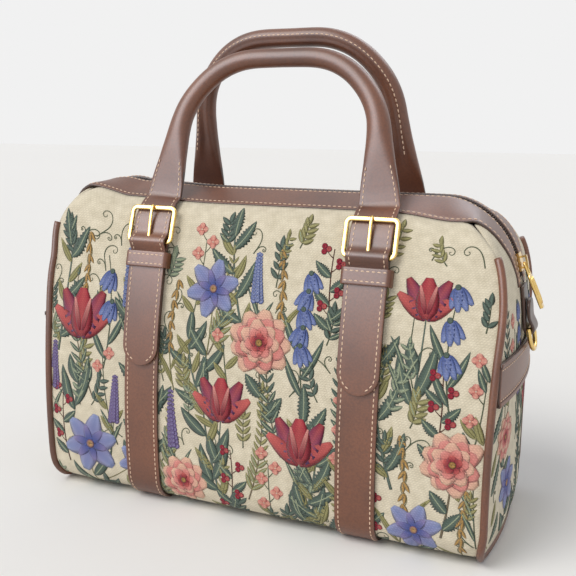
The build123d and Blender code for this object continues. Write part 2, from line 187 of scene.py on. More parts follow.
# the top corners: the one towards -X stands boxier, the one towards +X sags
settle = {"boxGrow": 0.17, "boxLift": 2.5, "sagX": 118.0, "sagWidth": 22.0, "sagDepth": 4.0}


def settled(p):
    x, y, z = p[..., 0], p[..., 1], p[..., 2]
    ax, az = -x - body["cornerX"], z - body["cornerZ"]
    angle = np.arctan2(np.maximum(az, 0), np.maximum(ax, 0.001))
    box = np.where((ax > 0) & (az > 0), np.sin(2 * angle) ** 1.5, 0) * settle["boxGrow"]
    lift = settle["boxLift"] * smooth(-x, 40, 110) * smooth(z, 120, 205)
    # the zip's own line stays true, so that the slider can run along it
    sag = settle["sagDepth"] * np.exp(-((x - settle["sagX"]) / settle["sagWidth"]) ** 2) * smooth(z, 150, 205)
    sag = sag * smooth(np.abs(y), 13, 27)
    return np.stack([x - np.maximum(ax, 0) * box, y, z + np.maximum(az, 0) * box + lift - sag], -1)


def bowAt(z, y):
    # how far the bowed end draws back towards its front and back edges
    return y**2 / (2 * body["bowRadius"]) * (1 - 0.6 * smooth(z, 120, 168))


def rimAt(z, y):
    return endAt(z) - bowAt(z, y)


def wrapPlain(x, s):
    # s runs down the front from the ridge, under the bag and up the back
    t = folded(s)
    y = np.where(s < halfLength, -1, 1) * np.interp(t, secLen, secY)
    return np.stack(np.broadcast_arrays(x, y, np.interp(t, secLen, secZ)), -1)


def lifted(surface, a, b, h, flip=1):
    step = 0.6
    normal = np.cross(surface(a + step, b) - surface(a - step, b), surface(a, b + step) - surface(a, b - step))
    normal *= flip / np.linalg.norm(normal, axis=-1, keepdims=True)
    return surface(a, b) + normal * np.asarray(h)[..., None]


def onBody(x, s, h):
    x, s, h = asArrays(x, s, h)
    return settled(lifted(wrapPlain, x, s, h, -1))


def endPlain(side):
    def place(y, w):
        x, z = np.interp(w, outLen, outX), np.interp(w, outLen, outZ)
        return np.stack(np.broadcast_arrays(side * (x - bowAt(z, y)), y, z), -1)
    return place


def onEnd(side, y, w, h):
    y, w, h = asArrays(y, w, h)
    return settled(lifted(endPlain(side), y, w, h, -side))


def topPlain(q, y):
    # q runs along the zip from the middle of the top; y is across it
    w = np.abs(q)
    x, z = np.interp(w, outLen, outX), np.interp(w, outLen, outZ)
    ahead, back = np.interp(w + 0.5, outLen, outX), np.interp(w - 0.5, outLen, outX)
    rise = np.interp(w + 0.5, outLen, outZ) - np.interp(w - 0.5, outLen, outZ)
    length = np.hypot(ahead - back, rise)
    nx, nz = -rise / length, (ahead - back) / length
    # the top falls away to the slopes on both sides of the ridge, with a soft edge
    over = z - np.interp(np.abs(y), secY[:len(secY) // 2], secZ[:len(secZ) // 2])
    drop = np.where(nz > 0.3, np.logaddexp(0, over * 2) / 2, 0) / np.maximum(nz, 0.3)
    drop *= smooth(z, 184, 198)
    bow = bowAt(z, y) * (1 - smooth(z, 165, 200))
    return np.stack(np.broadcast_arrays(np.sign(q + 1e-9) * (x - nx * drop - bow), y, z - nz * drop), -1)


def onTop(q, y, h):
    q, y, h = asArrays(q, y, h)
    return settled(lifted(topPlain, q, y, h, 1))


def bandHalfAt(z):
    return np.interp(z, [157, 163, 183, 196, 400], [13, 13, 24.5, 28.5, 28.5])


# ---- mesh helpers

def addObject(name, data):
    made = bpy.data.objects.new(name, data)
    bpy.context.scene.collection.objects.link(made)
    return made


def evaluatedMesh(piece):
    graph = bpy.context.evaluated_depsgraph_get()
    return bpy.data.meshes.new_from_object(piece.evaluated_get(graph))


def makePiece(name, points, faces, materials, faceMaterial=None, uv=None, colours=None):
    mesh = bpy.data.meshes.new(name)
    mesh.from_pydata((np.asarray(points, float) * mm).tolist(), [], faces)
    for material in materials:
        mesh.materials.append(material)
    if faceMaterial is not None:
        mesh.polygons.foreach_set("material_index", np.asarray(faceMaterial, np.int32))
    mesh.polygons.foreach_set("use_smooth", np.ones(len(mesh.polygons), bool))
    if uv is not None:
        layer = mesh.uv_layers.new(name="cloth")
        loops = np.empty(len(mesh.loops), np.int32)
        mesh.loops.foreach_get("vertex_index", loops)
        layer.data.foreach_set("uv", (np.asarray(uv, float)[loops] * mm).ravel().astype(np.float32))
    if colours is not None:
        layer = mesh.color_attributes.new("thread", "FLOAT_COLOR", "POINT")
        rgba = np.c_[np.asarray(colours, float), np.ones(len(colours))]
        layer.data.foreach_set("color", rgba.ravel().astype(np.float32))
    mesh.validate()
    mesh.update()
    return addObject(name, mesh)


def turnOut(piece, merge=True):
    # turns the normals out; thin shells that lie close together aren't merged
    work = bmesh.new()
    work.from_mesh(piece.data)
    if merge:
        bmesh.ops.remove_doubles(work, verts=work.verts, dist=1e-6)
    bmesh.ops.recalc_face_normals(work, faces=work.faces)
    work.to_mesh(piece.data)
    work.free()
    return piece


def gridFaces(rows, columns, start=0, ring=False):
    faces = []
    for r in range(rows - 1):
        for c in range(columns if ring else columns - 1):
            d = (c + 1) % columns
            a, b = start + r * columns, start + (r + 1) * columns
            faces.append((a + c, a + d, b + d, b + c))
    return faces


def loft(rings, closed=False):
    # rings is stations x points x 3; open ends are capped
    rows, columns = rings.shape[:2]
    faces = gridFaces(rows, columns, ring=True)
    if closed:
        a, b = (rows - 1) * columns, 0
        faces += [(a + c, a + (c + 1) % columns, b + (c + 1) % columns, b + c) for c in range(columns)]
    else:
        faces.append(tuple(range(columns))[::-1])
        faces.append(tuple(range((rows - 1) * columns, rows * columns)))
    return rings.reshape(-1, 3), faces


def squareRound(a, b, power, count=28):
    # a ring that goes from a round section at power 2 to a strap's section at about 8
    angle = np.linspace(0, 2 * math.pi, count, endpoint=False) + math.pi / count
    c, s = np.cos(angle), np.sin(angle)
    a, b, power = (np.asarray(v, float)[..., None] for v in (a, b, power))
    return a * np.sign(c) * np.abs(c) ** (2 / power), b * np.sign(s) * np.abs(s) ** (2 / power)


def roundedHalf(position, half, ends, radius):
    # half width of a strap whose ends are rounded, at positions along it
    out = np.full(len(position), float(half))
    for end in ends:
        d = np.clip(radius - np.abs(position - end), 0, radius)
        out = np.minimum(out, half - radius + np.sqrt(np.maximum(radius**2 - d**2, 0)))
    return np.maximum(out, 0.25)


def stationsBetween(low, high, step, fine=()):
    out = list(np.linspace(low, high, int(abs(high - low) / step) + 2))
    for end, reach in fine:
        out += [end + reach * (1 - math.cos(a)) for a in np.linspace(0, math.pi / 2, 12)]
    return np.array(sorted(set(np.round(out, 3))))


def edgeFaces(edge):
    # 1 for each face that lies along a cut edge, and for the two caps
    both = edge[:-1] & np.roll(edge[:-1], -1, 1)
    return [*both.ravel().astype(int), 1, 1]


def strapPiece(name, place, stations, half, thick, lift, materials, power=9.0):
    across, up = squareRound(half, np.full(len(stations), thick / 2), np.full(len(stations), power))
    points, faces = loft(place(stations[:, None] + 0 * across, across, up + lift + thick / 2))
    edge = np.abs(across) > np.asarray(half)[:, None] * 0.985
    return turnOut(makePiece(name, points, faces, materials, edgeFaces(edge)))


# ---- materials

def hexColour(text):
    # sRGB hex to linear
    values = [int(text[i:i + 2], 16) / 255 for i in (0, 2, 4)]
    return [v / 12.92 if v <= 0.04045 else ((v + 0.055) / 1.055) ** 2.4 for v in values]


def addNode(tree, kind, inputs=None, **settings):
    made = tree.nodes.new(kind)
    for key, value in settings.items():
        setattr(made, key, value)
    for key, value in (inputs or {}).items():
        if isinstance(value, bpy.types.NodeSocket):
            tree.links.new(value, made.inputs[key])
        else:
            made.inputs[key].default_value = value
    return made


def startMaterial(name, **values):
    material = bpy.data.materials.new(name)
    material.use_nodes = True
    shader = material.node_tree.nodes["Principled BSDF"]
    for key, value in values.items():
        shader.inputs[key].default_value = value
    return material, material.node_tree, shader


def rgba(text):
    return (*hexColour(text), 1.0)


leatherLook = {"grainMm": 1.1, "grainDepth": 0.05, "patchMm": 45.0, "rough": 0.46}


def makeLeather(name, light, deep, rough):
    # full-grain calf, drum dyed and lightly waxed: a fine pebble, soft shine and slow drift of tone
    material, tree, shader = startMaterial(name, Roughness=rough, IOR=1.5)
    shader.inputs["Specular IOR Level"].default_value = 0.7
    shader.inputs["Coat Weight"].default_value = 0.3
    shader.inputs["Coat Roughness"].default_value = 0.34
    place = addNode(tree, "ShaderNodeTexCoord").outputs["Object"]
    drift = addNode(tree, "ShaderNodeTexNoise", {"Vector": place, "Scale": 1000 / leatherLook["patchMm"],
                                                 "Detail": 4.0})
    grain = addNode(tree, "ShaderNodeTexVoronoi", {"Vector": place, "Scale": 1000 / leatherLook["grainMm"]},
                    feature="SMOOTH_F1")
    pores = addNode(tree, "ShaderNodeTexNoise", {"Vector": place, "Scale": 1400.0, "Detail": 3.0})
    tone = addNode(tree, "ShaderNodeMapRange", {"Value": drift.outputs["Fac"], "From Min": 0.3, "From Max": 0.7})
    base = addNode(tree, "ShaderNodeMix", {0: tone.outputs["Result"], 6: rgba(deep), 7: rgba(light)},
                   data_type="RGBA").outputs[2]
    valley = addNode(tree, "ShaderNodeMapRange", {"Value": grain.outputs["Distance"], "From Min": 0.2,
                                                  "From Max": 0.7, "To Min": 0.0, "To Max": 0.28})
    base = addNode(tree, "ShaderNodeMix", {0: valley.outputs["Result"], 6: base, 7: rgba(deep)},
                   data_type="RGBA", blend_type="MULTIPLY").outputs[2]
    tree.links.new(base, shader.inputs["Base Color"])
    height = addNode(tree, "ShaderNodeMath", {0: grain.outputs["Distance"], 1: pores.outputs["Fac"]}, operation="ADD")
    bump = addNode(tree, "ShaderNodeBump", {"Height": height.outputs[0], "Distance": leatherLook["grainDepth"] * mm,
                                           "Strength": 0.55})
    bump.invert = True
    tree.links.new(bump.outputs["Normal"], shader.inputs["Normal"])
    return material


clothLook = {"pale": "E4DAC4", "threadMm": 1.4, "slubMm": 6.0, "depthMm": 0.16}


def makeCloth(name, ground, painted):
    # cotton jacquard: matt, with a twill rib and uneven yarns. Its threads are about 0.4 mm apart,
    # too fine to show here, so they are drawn at threadMm.
    material, tree, shader = startMaterial(name, Roughness=0.92, IOR=1.45)
    shader.inputs["Specular IOR Level"].default_value = 0.25
    shader.inputs["Sheen Weight"].default_value = 0.12
    place = addNode(tree, "ShaderNodeUVMap", uv_map="cloth").outputs["UV"]
    scale = 1000 / clothLook["threadMm"]
    # a diagonal wave's period is 0.444 over its scale, and a straight one's 0.314
    warp = addNode(tree, "ShaderNodeTexWave", {"Vector": place, "Scale": scale * 0.444, "Distortion": 0.6,
                                               "Detail": 2.0, "Detail Scale": 2.0}, bands_direction="DIAGONAL")
    weft = addNode(tree, "ShaderNodeTexWave", {"Vector": place, "Scale": scale * 0.314, "Distortion": 0.9,
                                               "Detail": 2.0, "Detail Scale": 1.5}, bands_direction="Y")
    slub = addNode(tree, "ShaderNodeTexNoise", {"Vector": place, "Scale": 1000 / clothLook["slubMm"],
                                                "Detail": 5.0})
    weave = addNode(tree, "ShaderNodeMath", {0: warp.outputs["Fac"], 1: weft.outputs["Fac"]}, operation="MULTIPLY")
    if painted:
        base = addNode(tree, "ShaderNodeAttribute", attribute_name="thread").outputs["Color"]
    else:
        tones = {0: slub.outputs["Fac"], 6: rgba(ground), 7: rgba(clothLook["pale"])}
        base = addNode(tree, "ShaderNodeMix", tones, data_type="RGBA").outputs[2]
    shade = addNode(tree, "ShaderNodeMapRange", {"Value": weave.outputs[0], "To Min": 0.80 if painted else 0.87,
                                                 "To Max": 1.06})
    fleck = addNode(tree, "ShaderNodeMapRange", {"Value": slub.outputs["Fac"], "From Min": 0.25, "From Max": 0.75,
                                                 "To Min": 0.9, "To Max": 1.06})
    both = addNode(tree, "ShaderNodeMath", {0: shade.outputs["Result"], 1: fleck.outputs["Result"]},
                   operation="MULTIPLY")
    tint = addNode(tree, "ShaderNodeVectorMath", {0: base, "Scale": both.outputs[0]}, operation="SCALE")
    tree.links.new(tint.outputs["Vector"], shader.inputs["Base Color"])
    bump = addNode(tree, "ShaderNodeBump", {"Height": weave.outputs[0], "Distance": clothLook["depthMm"] * mm,
                                           "Strength": 0.7})
    tree.links.new(bump.outputs["Normal"], shader.inputs["Normal"])
    return material


def makeGold(name):
    # zinc casting, polished and brass plated: warm, bright, with faint handling marks
    material, tree, shader = startMaterial(name, Metallic=1.0, Roughness=0.17)
    place = addNode(tree, "ShaderNodeTexCoord").outputs["Object"]
    marks = addNode(tree, "ShaderNodeTexNoise", {"Vector": place, "Scale": 260.0, "Detail": 6.0})
    rough = addNode(tree, "ShaderNodeMapRange", {"Value": marks.outputs["Fac"], "To Min": 0.1, "To Max": 0.26})
    tree.links.new(rough.outputs["Result"], shader.inputs["Roughness"])
    base = addNode(tree, "ShaderNodeMix", {0: marks.outputs["Fac"], 6: rgba("D8AC52"), 7: rgba("F4DC9C")},
                   data_type="RGBA").outputs[2]
    tree.links.new(base, shader.inputs["Base Color"])
    return material


def makeThread(name, light, deep):
    # waxed cotton saddle thread: pale, matt, two plies that catch a little shade
    material, tree, shader = startMaterial(name, Roughness=0.75, IOR=1.45)
    place = addNode(tree, "ShaderNodeTexCoord").outputs["Object"]
    twist = addNode(tree, "ShaderNodeTexNoise", {"Vector": place, "Scale": 900.0, "Detail": 2.0})
    base = addNode(tree, "ShaderNodeMix", {0: twist.outputs["Fac"], 6: rgba(deep), 7: rgba(light)},
                   data_type="RGBA").outputs[2]
    tree.links.new(base, shader.inputs["Base Color"])
    return material


def makePlain(name, light, deep, rough, scaleMm, depth):
    # woven or pressed stuff that hardly shows: two close tones over a fine grain
    material, tree, shader = startMaterial(name, Roughness=rough, IOR=1.45)
    place = addNode(tree, "ShaderNodeTexCoord").outputs["Object"]
    grain = addNode(tree, "ShaderNodeTexNoise", {"Vector": place, "Scale": 1000 / scaleMm, "Detail": 4.0})
    base = addNode(tree, "ShaderNodeMix", {0: grain.outputs["Fac"], 6: rgba(deep), 7: rgba(light)},
                   data_type="RGBA").outputs[2]
    tree.links.new(base, shader.inputs["Base Color"])
    bump = addNode(tree, "ShaderNodeBump", {"Height": grain.outputs["Fac"], "Distance": depth * mm, "Strength": 0.5})
    tree.links.new(bump.outputs["Normal"], shader.inputs["Normal"])
    return material


tan = makeLeather("tanCalf", "7A4526", "582C13", leatherLook["rough"])
tanEdge = makeLeather("paintedEdge", "4A2915", "371C0B", 0.5)
darkCalf = makeLeather("darkCalf", "52301F", "37200F", 0.42)
ground = makeCloth("ivoryJacquard", "D3C7AC", False)
figured = makeCloth("figuredJacquard", "E6DCC4", True)
gold = makeGold("platedGold")
thread = makeThread("saddleThread", "F0D6BC", "D8B394")
liningStuff = makePlain("liningTwill", "6B4A33", "553A28", 0.85, 1.2, 0.1)
boardStuff = makePlain("pressedBoard", "4A423B", "37312C", 0.9, 3.0, 0.2)
tapeStuff = makePlain("zipTape", "4C2D1C", "3B2214", 0.85, 0.9, 0.1)
coilStuff = makePlain("zipCoil", "3E2619", "2C1A10", 0.5, 2.0, 0.02)
print("materials made")


# ---- stitches: one tree sets a sewn or moulded bead at every seed point

def beadTree():
    tree = bpy.data.node_groups.new("beads", "GeometryNodeTree")
    sockets = {}
    for label, kind in (("Geometry", "Geometry"), ("Bead Length", "Float"), ("Bead Width", "Float"),
                        ("Bead Height", "Float"), ("Finish", "Material")):
        sockets[label] = tree.interface.new_socket(label, in_out="INPUT", socket_type="NodeSocket" + kind)
    tree.interface.new_socket("Geometry", in_out="OUTPUT", socket_type="NodeSocketGeometry")
    given = addNode(tree, "NodeGroupInput")
    bead = addNode(tree, "GeometryNodeMeshUVSphere", {"Segments": 6, "Rings": 4, "Radius": 0.5})
    size = addNode(tree, "ShaderNodeCombineXYZ", {"X": given.outputs["Bead Length"],
                                                  "Y": given.outputs["Bead Width"],
                                                  "Z": given.outputs["Bead Height"]})
    shaped = addNode(tree, "GeometryNodeTransform", {"Geometry": bead.outputs["Mesh"], "Scale": size.outputs[0]})
    along = addNode(tree, "GeometryNodeInputNamedAttribute", {"Name": "along"}, data_type="FLOAT_VECTOR")
    up = addNode(tree, "GeometryNodeInputNamedAttribute", {"Name": "up"}, data_type="FLOAT_VECTOR")
    turn = addNode(tree, "FunctionNodeAxesToRotation", {"Primary Axis": along.outputs["Attribute"],
                                                        "Secondary Axis": up.outputs["Attribute"]},
                   primary_axis="X", secondary_axis="Z")
    placed = addNode(tree, "GeometryNodeInstanceOnPoints", {"Points": given.outputs["Geometry"],
                                                            "Instance": shaped.outputs["Geometry"],
                                                            "Rotation": turn.outputs["Rotation"]})
    real = addNode(tree, "GeometryNodeRealizeInstances", {"Geometry": placed.outputs["Instances"]})
    coloured = addNode(tree, "GeometryNodeSetMaterial", {"Geometry": real.outputs["Geometry"],
                                                         "Material": given.outputs["Finish"]})
    addNode(tree, "NodeGroupOutput", {"Geometry": coloured.outputs["Geometry"]})
    return tree, {label: socket.identifier for label, socket in sockets.items()}


beads, beadInputs = beadTree()


def beadPiece(name, seeds, length, width, height, finish):
    # seeds are rows of position, direction and upward, each in millimetres
    position, along, up = (np.concatenate([s[i] for s in seeds]) for i in range(3))
    mesh = bpy.data.meshes.new(name + "Seeds")
    mesh.from_pydata((position * mm).tolist(), [], [])
    for label, values in (("along", along), ("up", up)):
        layer = mesh.attributes.new(label, "FLOAT_VECTOR", "POINT")
        layer.data.foreach_set("vector", values.ravel().astype(np.float32))
    holder = addObject(name + "Seeds", mesh)
    modifier = holder.modifiers.new("beads", "NODES")
    modifier.node_group = beads
    for label, value in (("Bead Length", length * mm), ("Bead Width", width * mm), ("Bead Height", height * mm),
                         ("Finish", finish)):
        modifier[beadInputs[label]] = value
    result = evaluatedMesh(holder)
    result.name = name
    if not result.materials:
        result.materials.append(finish)
    result.polygons.foreach_set("use_smooth", np.ones(len(result.polygons), bool))
    piece = addObject(name, result)
    bpy.data.objects.remove(holder, do_unlink=True)
    return piece


stitch = {"pitch": 3.3, "length": 2.5, "width": 0.8, "height": 0.6, "inset": 2.5}


def seedsAlong(line, upward, pitch=None):
    # evenly spaced stitches on a dense line of points, with the direction each is seen from
    pitch = pitch or stitch["pitch"]
    steps = np.linalg.norm(np.diff(line, axis=0), axis=1)
    length = np.r_[0, np.cumsum(steps)]
    count = max(int(length[-1] / pitch), 1)
    at = (np.arange(count) + 0.5) * length[-1] / count
    pick = lambda values, d: np.stack([np.interp(d, length, values[:, i]) for i in range(3)], 1)
    along = pick(line, np.minimum(at + 0.4, length[-1])) - pick(line, np.maximum(at - 0.4, 0))
    return pick(line, at), along, pick(upward, at)


def seedsOn(place, along, across, lift):
    # the same, on a strap's own place function
    along, across = np.asarray(along, float), np.asarray(across, float) + 0 * np.asarray(along, float)
    line = place(along, across, np.full(len(along), float(lift)))
    above = place(along, across, np.full(len(along), float(lift) + 1))
    return seedsAlong(line, above - line)


def dress(piece, bodyName, slotName, *replaced):
    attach(piece, bodyName)
    if replaced:
        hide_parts(*replaced)
    return piece


bagSeeds = []


# ---- tapestry

cloth = {
    "pitch": 2.3, "columns": 137, "thick": 1.2, "seamY": 28.5, "gussetTop": 199.0,
    "puff": 1.5, "tuck": 1.0, "cornerTuck": 3.5, "tuckReach": 9.0,
}
seamS = float(np.interp(cloth["seamY"], secY[:len(secY) // 2], secLen[:len(secLen) // 2]))


def puffAt(x, s):
    # the filled cloth swells between the straps and is held flat under them
    t = folded(s)
    window = smooth(t, seamS, seamS + 35) * (1 - smooth(t, halfLength - 75, halfLength - 45))
    middle = np.cos(np.clip(x / 60, -1, 1) * math.pi / 2) ** 2
    outer = np.sin(np.clip((np.abs(x) - 88) / 60, 0, 1) * math.pi)
    slow = np.sin(x * 0.045 + t * 0.03) * np.sin(t * 0.038 + 1.3) + 0.6 * np.sin(x * 0.09 - t * 0.055)
    crease = np.exp(-((x * 0.5 + t - 96 - 8 * np.sin(x * 0.05)) / 5) ** 2) * smooth(np.abs(x), 95, 130)
    held = 1 - np.exp(-((np.abs(x) - 74) / 17) ** 4)
    return window * held * (cloth["puff"] * (middle + outer) + 0.45 * slow - 0.7 * crease)


def rimTuck(z):
    return cloth["tuck"] + (cloth["cornerTuck"] - cloth["tuck"]) * smooth(z, 174, 192)


def onCloth(x, s, h):
    t = folded(s)
    y, z = np.interp(t, secLen, secY), np.interp(t, secLen, secZ)
    rim = rimAt(z, y)
    near = np.clip((np.abs(x) - (rim - cloth["tuckReach"])) / cloth["tuckReach"], 0, 1.2) ** 2
    return onBody(x, s, h + puffAt(x, s) * (1 - near) - rimTuck(z) * near)


def onGusset(side, y, w, h):
    z = np.interp(w, outLen, outZ)
    edge = halfDepthAt(z)
    near = np.clip((np.abs(y) - (edge - cloth["tuckReach"])) / cloth["tuckReach"], 0, 1.2) ** 2
    soft = 0.5 * np.sin(y * 0.07 + 1) * np.sin(w * 0.05) * smooth(z, 10, 40)
    return onEnd(side, y, w, h + soft * (1 - near) - rimTuck(z) * near)


def thicken(piece, thick, middle):
    # a wall on the inner side: the normals are first turned away from the middle
    work = bmesh.new()
    work.from_mesh(piece.data)
    work.normal_update()
    centre = Vector(np.asarray(middle) * mm)
    away = sum((f.calc_center_median() - centre).dot(f.normal) * f.calc_area() for f in work.faces)
    if away < 0:
        bmesh.ops.reverse_faces(work, faces=work.faces)
    work.to_mesh(piece.data)
    work.free()
    wall = piece.modifiers.new("wall", "SOLIDIFY")
    wall.thickness = thick * mm
    wall.offset = -1
    result = evaluatedMesh(piece)
    piece.modifiers.remove(wall)
    old = piece.data
    piece.data = result
    bpy.data.meshes.remove(old)
    return piece


def sheetPiece(name, points, gone, material, thick, middle, uv=None):
    # a grid of points less the faces whose corners are all gone, with a wall on its inner side
    rows, columns = gone.shape
    faces = [f for f in gridFaces(rows, columns) if not all(gone.ravel()[i] for i in f)]
    used = sorted({i for f in faces for i in f})
    index = {v: i for i, v in enumerate(used)}
    faces = [tuple(index[i] for i in f) for f in faces]
    uv = None if uv is None else uv.reshape(-1, 2)[used]
    return thicken(makePiece(name, points.reshape(-1, 3)[used], faces, [material], uv=uv), thick, middle)


def spread(edge, along, columns):
    # a grid as wide as edge at each value of along
    across = np.linspace(-1, 1, columns)[None, :] * edge[:, None]
    return across, along[:, None] + 0 * across


def makeWrap():
    s = np.linspace(seamS, 2 * halfLength - seamS, int((2 * halfLength - 2 * seamS) / cloth["pitch"]))
    t = folded(s)
    z = np.interp(t, secLen, secZ)
    rim = rimAt(z, np.interp(t, secLen, secY)) - rimTuck(z) * 0.6
    x, ss = spread(rim, s, cloth["columns"])
    points = onCloth(x, ss, 0 * x)
    piece = sheetPiece("tapestryWrap", points, np.zeros(x.shape, bool), ground, cloth["thick"],
                       points.reshape(-1, 3).mean(0), np.stack([x, ss], -1))
    return piece, float(np.sum((rim[1:] + rim[:-1]) * np.diff(s)))


def makeGusset(side):
    w = np.linspace(wFromZ(cloth["gussetTop"]), outlineLength, 96)
    z = np.interp(w, outLen, outZ)
    edge = halfDepthAt(z) - rimTuck(z) * 0.6
    y, ww = spread(edge, w, 57)
    points = onGusset(side, y, ww, 0 * y)
    # open where the bands and the zip come down the end
    mouth = (np.abs(y) < (bandHalfAt(z)[:, None] + 5.5) / 2) & (z[:, None] > 159)
    name = "gusset" + ("Left" if side < 0 else "Right")
    piece = sheetPiece(name, points, mouth, ground, cloth["thick"], (0, 0, 100),
                       np.stack([y, ww], -1) + [500 * side, 0])
    return piece, float(np.sum(2 * edge[:-1] * np.diff(w)))


liner = {"inside": -2.6, "margin": 4.0, "overlap": 2.0, "thick": 0.6}


def makeLiner(side):
    # the lining follows the cloth's settled form, a little way inside it; side 0 is the body's own run
    if side:
        place = lambda a, b, h: onGusset(side, a, b, h)
        b = np.linspace(wFromZ(cloth["gussetTop"]), outlineLength, 60)
        z = np.interp(b, outLen, outZ)
        edge = halfDepthAt(z) - liner["margin"]
    else:
        place = onCloth
        b = np.linspace(seamS - liner["overlap"], 2 * halfLength - seamS + liner["overlap"], 150)
        t = folded(b)
        z = np.interp(t, secLen, secZ)
        edge = rimAt(z, np.interp(t, secLen, secY)) - liner["margin"]
    a, bb = spread(edge, b, 36 if side else 60)
    mouth = (np.abs(a) < 11) & (z[:, None] > 161) if side else np.zeros(a.shape, bool)
    name = "liner" + {0: "Body", -1: "EndLeft", 1: "EndRight"}[side]
    piece = sheetPiece(name, place(a, bb, liner["inside"] + 0 * a), mouth, liningStuff, liner["thick"], (0, 0, 100))
    return dress(piece, "bag", "lining"), float(np.sum(2 * edge[:-1] * np.diff(b)))


wrap, wrapArea = makeWrap()
dress(wrap, "bag", "tapestry", "tapestry_wrap")
gussets = {}
for sideName, side in sides:
    gussets[sideName], gussetArea = makeGusset(side)
    dress(gussets[sideName], "bag", "tapestry", "end_panel_" + sideName)
liners = [makeLiner(side) for side in (0, -1, 1)]
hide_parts("lining")
print("cloth made, area", round(wrapArea), round(gussetArea))


# ---- floral figure: each leaf, petal and stem is a thin float of coloured threads laid on the cloth

dye = {name: np.array(hexColour(text)) for name, text in {
    "leafDark": "43524A", "leaf": "66766A", "leafLight": "A5AE8F", "olive": "7F7B4C", "oliveLight": "A9A373",
    "stem": "5F6850", "twig": "7C6F58", "crimson": "7E1A30", "red": "A62C3C", "coral": "CC6660", "pink": "DE968C",
    "peach": "E4BBA0", "cream": "E6DAC0", "blue": "3A4F92", "sky": "6577AE", "mist": "9FA7C8", "lilac": "8E83AE",
    "plum": "5D4478", "brown": "5A3528", "ochre": "C59A55"}.items()}


olives = ("olive", "oliveLight", "olive")


